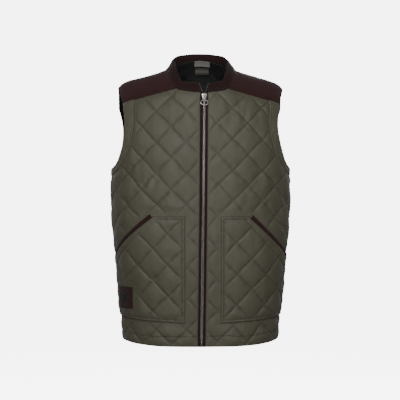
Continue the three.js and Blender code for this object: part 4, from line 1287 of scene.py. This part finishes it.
class VEST_OT_yokes(bpy.types.Operator):
    """Lays the plain yokes over the shoulders"""

    bl_idname = "vest.yokes"
    bl_label = "Shoulder yokes"

    def execute(self, context):
        for side in (-1, 1):
            name = "yoke_" + side_name(side)

            def outer(share, down, side=side):
                edge = np.minimum(from_edge(share, YOKE_WIDTH), from_edge(down, YOKE_LENGTH))
                ripple = 0.8 * soft_noise(share * 5 + side, down * 9, 31)
                ripple += 0.4 * soft_noise(share * 13, down * 21, 32)
                height = YOKE_WALL + ripple * smooth(edge / 12) - turned_edge(edge, 1.2, 2.4)
                return yoke_place(side, share, down, height - groove(edge))

            def inner(share, down, side=side):
                return yoke_place(side, share, down, np.zeros_like(share))

            def seam(flat):
                edge = from_edge(flat[:, 1], YOKE_LENGTH)
                return seam_values(edge - SEAM_STITCH, edge)

            materials = [material("contrast_canvas"), material("lining_satin")]
            marks = {**spread(200, 190), "seam": seam}
            obj = Cloth().from_grid(110, 130).finish(name, outer, inner, materials, marks)
            dress(obj, "contrast", name)
        return {"FINISHED"}


YOKE_OVER_NECK = 21
YOKE_ROWS = 28
YOKE_WIDTH = 150
YOKE_LENGTH = 170


def yoke_place(side, share, down, height):
    """Place on a yoke, from the neck to the armhole and from the front seam to the back seam."""
    down = mix(-TUCK, 100 + TUCK, down) / 100
    row = np.clip(down, 0, 1) * YOKE_ROWS
    neck_x, neck_sweep = neck_place(np.minimum(YOKE_NECK_SHARE + row / NECK_STEPS, 1))
    ends = {face: yoke_seam(face, 1.0) for face in ("front", "back")}
    centre_sweep = yoke_seam("back", 0.0)[1]
    past = np.clip((row - YOKE_OVER_NECK) / (YOKE_ROWS - YOKE_OVER_NECK), 0, 1)
    inner_sweep = mix(neck_sweep, centre_sweep, past)
    outer_sweep = mix(ends["front"][1], ends["back"][1], down)
    is_front = outer_sweep < 0
    end_x = np.where(is_front, ends["front"][0], ends["back"][0])
    end_sweep = np.where(is_front, ends["front"][1], ends["back"][1])
    outer_x = mix(SHOULDER_TIP_X, end_x, (outer_sweep / end_sweep) ** 2)
    gap = np.where(row <= YOKE_OVER_NECK, 0.12, -0.06)
    sweep = mix(inner_sweep, outer_sweep, share)
    for face, weight in (("front", (1 - down) ** 3), ("back", down**3)):
        straight = mix(yoke_seam(face, 0.0)[1], yoke_seam(face, 1.0)[1], share)
        sweep = sweep + weight * (yoke_seam(face, share)[1] - straight)
    return arch_offset(side * mix(neck_x + gap, outer_x, share), sweep, height)


class VEST_OT_armhole_bands(bpy.types.Operator):
    """Lays the plain bands round the armholes"""

    bl_idname = "vest.armhole_bands"
    bl_label = "Armhole bands"

    def execute(self, context):
        for side in (-1, 1):
            name = "armhole_band_" + side_name(side)

            def outer(along, across, side=side):
                edge = from_edge(across, BAND_SPREAD)
                gather = 0.55 * soft_noise(along * 56, across * 1.6, 41 + side)
                gather += 0.5 * soft_noise(along * 21, across * 2.4, 43)
                height = BAND_WALL + gather * smooth(edge / 5) - turned_edge(edge, 1.5, 2.6)
                height -= 0.6 * bell((across - BAND_STITCH_SHARE) * BAND_SPREAD, GROOVE_WIDTH)
                return band_place(side, along, across, height)

            def inner(along, across, side=side):
                return band_place(side, along, across, np.zeros_like(along))

            def seam(flat):
                row = (flat[:, 1] - BAND_STITCH_SHARE) * BAND_SPREAD
                edge = (1 - flat[:, 1]) * BAND_SPREAD
                return seam_values(row, edge)

            materials = [material("shell_plain"), material("lining_satin")]
            marks = {**spread(400, BAND_SPREAD), "seam": seam}
            obj = Cloth().from_grid(220, 18).finish(name, outer, inner, materials, marks)
            dress(obj, "plain_shell", name)
        return {"FINISHED"}


def band_place(side, along, across, height):
    """Place on an armhole band, from the front yoke seam round the underarm to the back yoke seam."""
    station = along * 2 * STATIONS
    across = across * (1 + TUCK / 10)
    total = None
    for face in ("front", "back"):
        edge, line, _ = ARMHOLE_LINES[face]
        index = station if face == "front" else 2 * STATIONS - station
        index = np.clip(index, 0, STATIONS)
        steps = np.arange(STATIONS + 1)
        u, z = (
            mix(np.interp(index, steps, edge[:, k]), np.interp(index, steps, line[:, k]), across)
            for k in (0, 1)
        )
        place = body_offset(face, side * u, z, height)
        total = place if total is None else np.where((station > STATIONS)[:, None], place, total)
    return total


def collar_place(side, share, up, height):
    """Place on the collar, from the centre front round to the centre back."""
    def standing(t):
        x, sweep = neck_place(t)
        base = arch_point(side * x, sweep)
        normal = arch_normal(side * np.maximum(x, 1), sweep)
        lean = read_table(COLLAR, "share", "lean", t)[:, None]
        rise = read_table(COLLAR, "share", "rise", t)[:, None]
        inward = unit(np.stack([-base[:, 0], NECK_AXIS_Y - base[:, 1], 0 * t], 1))
        upward = np.array([0, 0, 1.0])
        bow = np.sin(math.pi * up) * 1.2
        wall_normal = unit(-inward * rise + upward * lean)
        outward = unit(mix(normal, wall_normal, smooth(up * 2)[:, None]))
        leaning = (inward * lean + upward * rise) * mix(-0.07, 1, up)[:, None]
        return base + leaning + outward * (height - bow)[:, None]

    place = standing(np.maximum(share, COLLAR_SECOND))
    front = standing(np.full_like(share, COLLAR_START))
    front[:, 0] = side * mix(COLLAR_BASE_OPENING, COLLAR_TOP_OPENING, up) + ZIP_CENTRE_TOP
    t = np.clip((share - COLLAR_START) / (COLLAR_SECOND - COLLAR_START), 0, 1)[:, None]
    return mix(front, place, t)


class VEST_OT_collar(bpy.types.Operator):
    """Stands the collar on the neckline"""

    bl_idname = "vest.collar"
    bl_label = "Stand collar"

    def execute(self, context):
        def place(around, up, outside):
            side = np.where(around < 0.5, -1.0, 1.0)
            share = mix(1, COLLAR_START, np.abs(around - 0.5) * 2)
            edge = np.minimum(from_edge(up, COLLAR_HEIGHT), from_edge(around, COLLAR_LENGTH))
            if outside:
                gather = 0.5 * soft_noise(around * 44, up * 2, 51)
                gather += 0.7 * soft_noise(around * 17, up * 2, 53)
                height = COLLAR_WALL + gather * smooth(edge / 5) - turned_edge(edge, 1.5, 3) - groove(edge)
            else:
                gather = 0.4 * soft_noise(around * 38, up * 2, 55)
                height = gather * smooth(edge / 6) + turned_edge(edge, 0.9, 3) + groove(edge)
            result = np.empty((len(around), 3))
            for sign in (-1.0, 1.0):
                on = side == sign
                result[on] = collar_place(sign, share[on], up[on], height[on])
            return result

        obj = Cloth().from_grid(240, 22).finish(
            "collar", lambda a, b: place(a, b, True), lambda a, b: place(a, b, False),
            [material("collar_canvas")], spread(COLLAR_LENGTH, COLLAR_HEIGHT + 1),
        )
        dress(obj, "contrast", "collar")
        return {"FINISHED"}


def lining_place(a, down, depth):
    """Place on the lining behind the back neck."""
    x = (a * 2 - 1) * LINING["half_width"]
    width = np.abs(x)
    back = NECK_SHARES >= 0.6
    order = np.argsort(NECK_CURVE[back, 0])
    top = np.interp(width, NECK_CURVE[back, 0][order], NECK_CURVE[back, 1][order]) / 100 + 0.003
    bottom = mix(LINING["sweep_centre"], LINING["sweep_side"], (width / LINING["half_width"]) ** 2)
    return arch_offset(x, mix(top, bottom, down), -depth)


class VEST_OT_neck_inside(bpy.types.Operator):
    """Hangs the lining that shows inside the back neck, with its two labels"""

    bl_idname = "vest.neck_inside"
    bl_label = "Lining and labels"

    def execute(self, context):
        def lining(depth, folded):
            def at(a, down):
                fold = 2.6 * soft_noise(a * 9 + down * 4, down * 3, 61)
                fold += 1.4 * soft_noise(a * 19 - down * 5, down * 5, 63)
                free = smooth(from_edge(a, 1) / 0.08) * smooth(down / 0.1)
                free = free * mix(0.15, 1, smooth((np.abs(a - 0.54) - 0.13) / 0.09))
                return lining_place(a, down, depth + (np.abs(fold) * free if folded else 0 * a))
            return at

        near, far = LINING["gap"], LINING["gap"] + LINING["wall"]
        obj = Cloth().from_grid(90, 70).finish(
            "lining_back", lining(near, False), lining(far, True), [material("lining_satin")],
            spread(156, 170),
        )
        dress(obj, "lining", "lining_back")
        for name, cut in LABELS.items():
            self.label(name, cut, far + LABEL_LIFT)
        return {"FINISHED"}

    def label(self, name, cut, depth):
        """One label held along its top edge."""
        def at(extra):
            def place(across, down):
                x = LABEL_X + (across - 0.5) * cut["width"]
                share = x / (2 * LINING["half_width"]) + 0.5
                curl = 1.3 * down**2 + 0.5 * np.sin(across * 7) * down
                sunk = mix(cut["top"], cut["bottom"], down)
                return lining_place(share, sunk, depth + extra + curl * 0.5)
            return place

        obj = Cloth().from_grid(22, 16).finish(name, at(0.0), at(0.7), [material(cut["finish"])])
        dress(obj, "label", name)


def strip_place(z, across, height):
    """Place on the centre front strip."""
    return body_offset("front", zip_centre(z) + across, z, height)


def scatter(name, base, frames, finish, slot):
    """Joins many copies of a small form, one at each frame."""
    unit_mesh = bpy.data.meshes.new(name + "_unit")
    base.to_mesh(unit_mesh)
    base.free()
    bm = bmesh.new()
    for placing in frames:
        copy = unit_mesh.copy()
        copy.transform(Matrix(placing))
        bm.from_mesh(copy)
        bpy.data.meshes.remove(copy)
    bpy.data.meshes.remove(unit_mesh)
    obj = add_object(name, smooth_mesh(name, bm, finish))
    return obj


def small_block(width, length, wall, bevel):
    """Block with rounded edges, for teeth, from sizes in millimetres."""
    bm = bmesh.new()
    bmesh.ops.create_cube(bm, size=1.0)
    bmesh.ops.scale(bm, vec=(width * MM, length * MM, wall * MM), verts=bm.verts[:])
    bmesh.ops.bevel(
        bm, geom=bm.edges[:], offset=bevel * MM, affect="EDGES", segments=1, profile=0.5, material=-1
    )
    return bm


def frame_at(point, along, normal):
    """Placing matrix with local X along the cloth and local Z away from it."""
    x = unit(along)
    y = unit(np.cross(normal, x))
    matrix = np.eye(4)
    matrix[:3] = np.column_stack([x, y, np.cross(x, y), point])
    return matrix


class VEST_OT_zip(bpy.types.Operator):
    """Makes the zip: woven tapes, interlocked teeth, the open end in the collar and the box at the hem"""

    bl_idname = "vest.zip"
    bl_label = "Zip"

    def execute(self, context):
        self.tapes()
        self.teeth(context.scene.vest_sizes)
        self.open_ends(context.scene.vest_sizes)
        self.box()
        return {"FINISHED"}

    def tapes(self):
        """Woven tapes beside the teeth."""
        for side in (-1, 1):
            name = "zip_tape_" + side_name(side)

            def place(height, side=side):
                def at(across, down):
                    x = side * mix(TAPE_MEETING, TAPE_OUTER, across)
                    z = mix(ZIP_TOP_Z, HEM_Z, down)
                    ridge = 0.35 * bell(across - 0.12, 0.12)
                    return strip_place(z, x, height + (ridge if height > 1 else 0) + 0 * x)
                return at

            obj = Cloth().from_grid(8, 260).finish(
                name, place(TAPE_OVER), place(TAPE_UNDER), [material("tape_twill")], spread(9, 632)
            )
            dress(obj, "zip_tape", name)
            under = ["front_" + side_name(side)]

    def teeth(self, sizes):
        """Interlocked teeth from the slider to the box."""
        pitch = sizes.tooth_pitch / MM
        frames = []
        for side in (-1, 1):
            start = SLIDER_Z - 6 - (pitch / 2 if side > 0 else 0)
            z = np.arange(start, BOX_TOP_Z + 1, -pitch)
            x = np.full_like(z, side * TOOTH["aside"])
            height = CHAIN_LIFT + CHAIN_WALL / 2 + TOOTH["lift"]
            points = strip_place(z, x, np.full_like(z, height)) * MM
            normals = body_normal("front", zip_centre(z) + x, z)
            frames += [frame_at(p, np.array([1.0, 0, 0]), n) for p, n in zip(points, normals)]
        tooth = small_block(TOOTH["width"], pitch * TOOTH["share"], CHAIN_WALL, TOOTH["bevel"])
        obj = scatter("zip_teeth", tooth, frames, material("teeth_metal"), "zip_metal")
        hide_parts("zip_chain")

    def open_ends(self, sizes):
        """Tape and teeth that run up the collar above the slider."""
        pitch = sizes.tooth_pitch / MM
        frames = []
        for side in (-1, 1):
            name = "zip_end_" + side_name(side)

            def place(height, side=side):
                def at(across, up):
                    return end_place(side, across, mix(0.05, 0.94, up), height + 0 * up)
                return at

            obj = Cloth().from_grid(6, 20).finish(
                name, place(2.2), place(0.8), [material("tape_twill")], spread(6, END_LENGTH)
            )
            dress(obj, "zip_tape", name)
            ups = np.arange(0.1, 0.9, pitch / END_LENGTH)
            height = np.full_like(ups, END_TOOTH["lift"])
            points, ahead, beside = (
                end_place(side, np.full_like(ups, across), ups + step, height)
                for across, step in ((0.05, 0), (0.05, 0.01), (0.3, 0))
            )
            ahead, beside = ahead - points, beside - points
            normals = np.cross(beside, ahead) * side
            frames += [
                frame_at(p * MM, np.cross(a, n), n) for p, a, n in zip(points, unit(ahead), unit(normals))
            ]
        tooth = small_block(
            END_TOOTH["width"], pitch * END_TOOTH["share"], END_TOOTH["wall"], END_TOOTH["bevel"]
        )
        scatter("zip_end_teeth", tooth, frames, material("dull_metal"), "zip_metal")

    def box(self):
        """Retainer box at the hem."""
        def place(height):
            def at(across, down):
                z = mix(BOX_TOP_Z, HEM_Z + 1, down)
                crown = np.sqrt(np.clip(1 - (2 * across - 1) ** 4, 0.1, 1))
                lift = height * (crown if height > 1 else np.ones_like(z))
                return strip_place(z, (across * 2 - 1) * CHAIN_HALF, lift)
            return at

        obj = Cloth().from_grid(10, 8).finish(
            "zip_box", place(CHAIN_LIFT + CHAIN_WALL + 1), place(CHAIN_LIFT), [material("box_metal")]
        )
        dress(obj, "zip_metal", "zip_box")


def end_place(side, across, up, height):
    """Place on the zip's open end along the collar's front edge."""
    outer = mix(COLLAR_BASE_OPENING, COLLAR_TOP_OPENING, up) - 0.4
    inner = mix(2.8, 11.5, up)
    place = collar_place(side, np.full_like(up, COLLAR_START), up, height)
    place[:, 0] = side * mix(inner, outer, across) + ZIP_CENTRE_TOP
    return place


class VEST_OT_zip_slider(bpy.types.Operator):
    """Rounds the slider and its ring pull and plates them"""

    bl_idname = "vest.zip_slider"
    bl_label = "Slider and ring pull"

    def execute(self, context):
        for node, body, finish in (
            ("zip_slider", BODY, "plated_metal"), ("zip_pull", PULL_BODY, "ring_metal")
        ):
            bm = bmesh.new()
            bm.from_mesh(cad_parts[node].data)
            bmesh.ops.remove_doubles(bm, verts=bm.verts[:], dist=1e-6)
            bmesh.ops.dissolve_limit(bm, angle_limit=0.02, verts=bm.verts[:], edges=bm.edges[:])
            sharp = [e for e in bm.edges if len(e.link_faces) == 2 and e.calc_face_angle() > 1.0]
            bmesh.ops.bevel(
                bm, geom=sharp, offset=0.00035, affect="EDGES", segments=2, profile=0.5, material=-1,
                clamp_overlap=True,
            )
            mesh = smooth_mesh(node + "_rounded", bm, material(finish))
            mesh.set_sharp_from_angle(angle=0.6)
            dress(add_object(node + "_rounded", mesh, body), "zip_metal", node)
        return {"FINISHED"}


def stitch_frames(points, normals, sizes):
    """Frames of the stitches along a line of points in millimetres."""
    lengths = run_lengths(points)
    pitch = (sizes.stitch_length + sizes.stitch_gap) / MM
    places = np.arange(pitch / 2, lengths[-1], pitch)
    before, at, after = (points_along(points, lengths, places + d) for d in (-0.6, 0, 0.6))
    normal = unit(points_along(normals, lengths, places))
    return [frame_at(p * MM, b - a, n) for a, p, b, n in zip(before, at, after, normal)]


def pattern_row(name, line):
    """Stitch line laid on a quilted panel along a line in the pattern."""
    line = np.array(line, float)
    lengths = run_lengths(line)
    u, z = points_along(line, lengths, np.arange(0, lengths[-1], 2.0)).T
    panel = PANELS[name]
    girth = half_girth(panel["face"], np.minimum(z, UNDERARM_Z))
    keep = is_inside(panel["outline"], u, z) & (np.abs(u) < girth - 1)
    u, z = u[keep], z[keep]
    points = panel_place(name, u, z, panel_height(name, u, z) + THREAD_LIFT)
    return points, body_normal(panel["face"], u, z)


class VEST_OT_stitching(bpy.types.Operator):
    """Sews the topstitching along hems, pockets, armholes, yokes and collar"""

    bl_idname = "vest.stitching"
    bl_label = "Topstitching"

    def execute(self, context):
        sizes = context.scene.vest_sizes
        shell, contrast = [], []
        for name, panel in PANELS.items():
            for row in panel["rows"]:
                moved = row
                if row is panel["rows"][0] and panel["margin"]:
                    moved = self.moved_in(row, 1.8)
                shell += stitch_frames(*pattern_row(name, moved), sizes)
        shares = np.linspace(0.004, 0.996, 400)
        yoke_heights = (YOKE_WALL - THREAD_SINK, YOKE_WALL + 1)
        collar_heights = (COLLAR_WALL - THREAD_SINK, COLLAR_WALL + 1)
        for side in (-1, 1):
            def row(place, along, across, heights, side=side):
                low, high = (
                    place(side, along, np.full_like(along, across), np.full_like(along, height))
                    for height in heights
                )
                return stitch_frames(low, high - low, sizes)

            shell += row(band_place, shares, BAND_STITCH_SHARE, (BAND_WALL - 0.5, BAND_WALL + 1))
            for down in (0.033, 0.967):
                contrast += row(yoke_place, mix(0.03, 0.97, shares), down, yoke_heights)
            for up in (0.2, 0.8):
                around = mix(COLLAR_START + 0.012, 1, shares)
                contrast += row(collar_place, around, up, collar_heights)
            contrast += row(collar_place, mix(0.4, 1, shares), 0.8, (THREAD_SINK, -1))
        for name, frames, finish, slot in (
            ("topstitch_shell", shell, "shell_thread", "quilted_shell"),
            ("topstitch_contrast", contrast, "contrast_thread", "contrast"),
        ):
            scatter(name, self.stitch(sizes), frames, material(finish), slot)
        return {"FINISHED"}

    @staticmethod
    def moved_in(row, inset):
        """A pocket's edge row moved inwards."""
        outer, low, high, end = row
        sign = 1 if low[0] > 0 else -1
        return [
            (outer[0], outer[1] + inset), (low[0] + sign * inset, low[1] + inset),
            (high[0] + sign * inset, high[1] - inset), (end[0], end[1] - inset),
        ]

    @staticmethod
    def stitch(sizes):
        """One stitch: a short thread that dips at both ends."""
        bm = bmesh.new()
        turn = Matrix.Rotation(math.pi / 2, 4, "Y")
        bmesh.ops.create_cone(
            bm, cap_ends=True, segments=6, radius1=sizes.thread, radius2=sizes.thread,
            depth=sizes.stitch_length * 0.8, matrix=turn,
        )
        caps = [f for f in bm.faces if len(f.verts) == 6]
        bmesh.ops.inset_individual(
            bm, faces=caps, thickness=sizes.thread * 0.5, depth=sizes.stitch_length * 0.1
        )
        return bm


VEST_MIDDLE = Vector((0, 0, -0.33))
SIDE_SHARE = 0.12
PICTURE_WIDTH = 1.04
FLOOR_Z = -1.3
STUDIO_RADIUS = 7
STUDIO_PAINT = {
    "Base Color": (0.9, 0.9, 0.9, 1),
    "Roughness": 0.9,
    "Emission Color": (1, 1, 1, 1),
    "Emission Strength": 6.0,
}


def softbox(name, place, size, power):
    """Soft area light that faces the vest's middle."""
    light = bpy.data.lights.new(name, "AREA")
    light.shape = "RECTANGLE"
    light.size, light.size_y = size
    light.energy = power
    obj = bpy.data.objects.new(name, light)
    obj.location = place
    obj.rotation_euler = (VEST_MIDDLE - Vector(place)).to_track_quat("-Z", "Y").to_euler()
    bpy.context.collection.objects.link(obj)


class VEST_OT_stage(bpy.types.Operator):
    """Sets the camera, the soft lights and the pale floor and wall"""

    bl_idname = "vest.stage"
    bl_label = "Camera and studio"

    def execute(self, context):
        self.camera(context)
        self.backdrop(context)
        colours = context.scene.vest_colours
        softbox("key_softbox", (-0.3, -2.3, 0.75), (1.1, 1.1), colours.key_power)
        softbox("fill_softbox", (0.2, -2.4, -0.7), (1.2, 0.9), colours.fill_power)
        softbox("back_softbox", (0.3, 2.3, 0.8), (1.3, 1.3), colours.key_power)
        for side in (-1, 1):
            place = (side * 2.1, 1.5, 0.6)
            softbox("side_softbox_" + side_name(side), place, (1, 1), colours.key_power * SIDE_SHARE)
        world = bpy.data.worlds.new("studio_air")
        world.use_nodes = True
        air = world.node_tree.nodes["Background"].inputs
        air["Color"].default_value = (1, 1, 1, 1)
        air["Strength"].default_value = 0.13
        context.scene.world = world
        return {"FINISHED"}

    @staticmethod
    def camera(context):
        """Camera at the photograph's distance, height and angle."""
        distance, height, azimuth, aside = 2.2, -0.335, math.radians(-2.2), -0.0013
        data = bpy.data.cameras.new("photo_camera")
        data.sensor_width = 36
        data.lens = data.sensor_width * distance / PICTURE_WIDTH
        camera = bpy.data.objects.new("photo_camera", data)
        camera.location = (
            distance * math.sin(azimuth) + aside * math.cos(azimuth),
            -distance * math.cos(azimuth) + aside * math.sin(azimuth),
            height,
        )
        camera.rotation_euler = (math.pi / 2, 0, azimuth)
        context.collection.objects.link(camera)
        context.scene.camera = camera

    @staticmethod
    def backdrop(context):
        """Pale floor inside a round pale studio."""
        bm = bmesh.new()
        bmesh.ops.create_icosphere(bm, subdivisions=5, radius=STUDIO_RADIUS)
        everything = bm.verts[:] + bm.edges[:] + bm.faces[:]
        cut = bmesh.ops.bisect_plane(
            bm, geom=everything, plane_co=(0, 0, FLOOR_Z), plane_no=(0, 0, -1), clear_outer=True
        )
        rim = [e for e in cut["geom_cut"] if isinstance(e, bmesh.types.BMEdge)]
        bmesh.ops.contextual_create(bm, geom=rim)
        bmesh.ops.recalc_face_normals(bm, faces=bm.faces[:])
        bmesh.ops.reverse_faces(bm, faces=bm.faces[:])
        mesh = bpy.data.meshes.new("studio_sweep")
        bm.to_mesh(mesh)
        bm.free()
        mesh.materials.append(Paint("studio_white", STUDIO_PAINT).material)
        obj = bpy.data.objects.new("studio_sweep", mesh)
        context.collection.objects.link(obj)
        obj.visible_diffuse = False
        obj.visible_glossy = False


OPERATORS = (
    VEST_OT_stage,
    VEST_OT_quilted_panels,
    VEST_OT_pocket_trim,
    VEST_OT_yokes,
    VEST_OT_armhole_bands,
    VEST_OT_collar,
    VEST_OT_neck_inside,
    VEST_OT_zip,
    VEST_OT_zip_slider,
    VEST_OT_stitching,
)


class VEST_PT_panel(bpy.types.Panel):
    """Lists the vest's pieces in the sidebar"""

    bl_idname = "VEST_PT_panel"
    bl_label = "Quilted Vest"
    bl_space_type = "VIEW_3D"
    bl_region_type = "UI"
    bl_category = "Vest"

    def draw(self, context):
        for group in (context.scene.vest_sizes, context.scene.vest_colours):
            for name in group.__annotations__:
                self.layout.prop(group, name)
        for operator in OPERATORS:
            self.layout.operator(operator.bl_idname)


CLASSES = (VestSizes, VestColours, *OPERATORS, VEST_PT_panel)


def register():
    """Registers the add-on's classes and properties."""
    for item in CLASSES:
        bpy.utils.register_class(item)
    bpy.types.Scene.vest_sizes = bpy.props.PointerProperty(type=VestSizes)
    bpy.types.Scene.vest_colours = bpy.props.PointerProperty(type=VestColours)


def unregister():
    """Removes the add-on's classes and properties."""
    del bpy.types.Scene.vest_colours
    del bpy.types.Scene.vest_sizes
    for item in reversed(CLASSES):
        bpy.utils.unregister_class(item)


def main():
    """Builds the vest and its stage."""
    register()
    bpy.ops.vest.stage()
    bpy.ops.vest.quilted_panels()
    bpy.ops.vest.pocket_trim()
    bpy.ops.vest.yokes()
    bpy.ops.vest.armhole_bands()
    bpy.ops.vest.collar()
    bpy.ops.vest.neck_inside()
    bpy.ops.vest.zip()
    bpy.ops.vest.zip_slider()
    bpy.ops.vest.stitching()


if __name__ == "__main__":
    main()
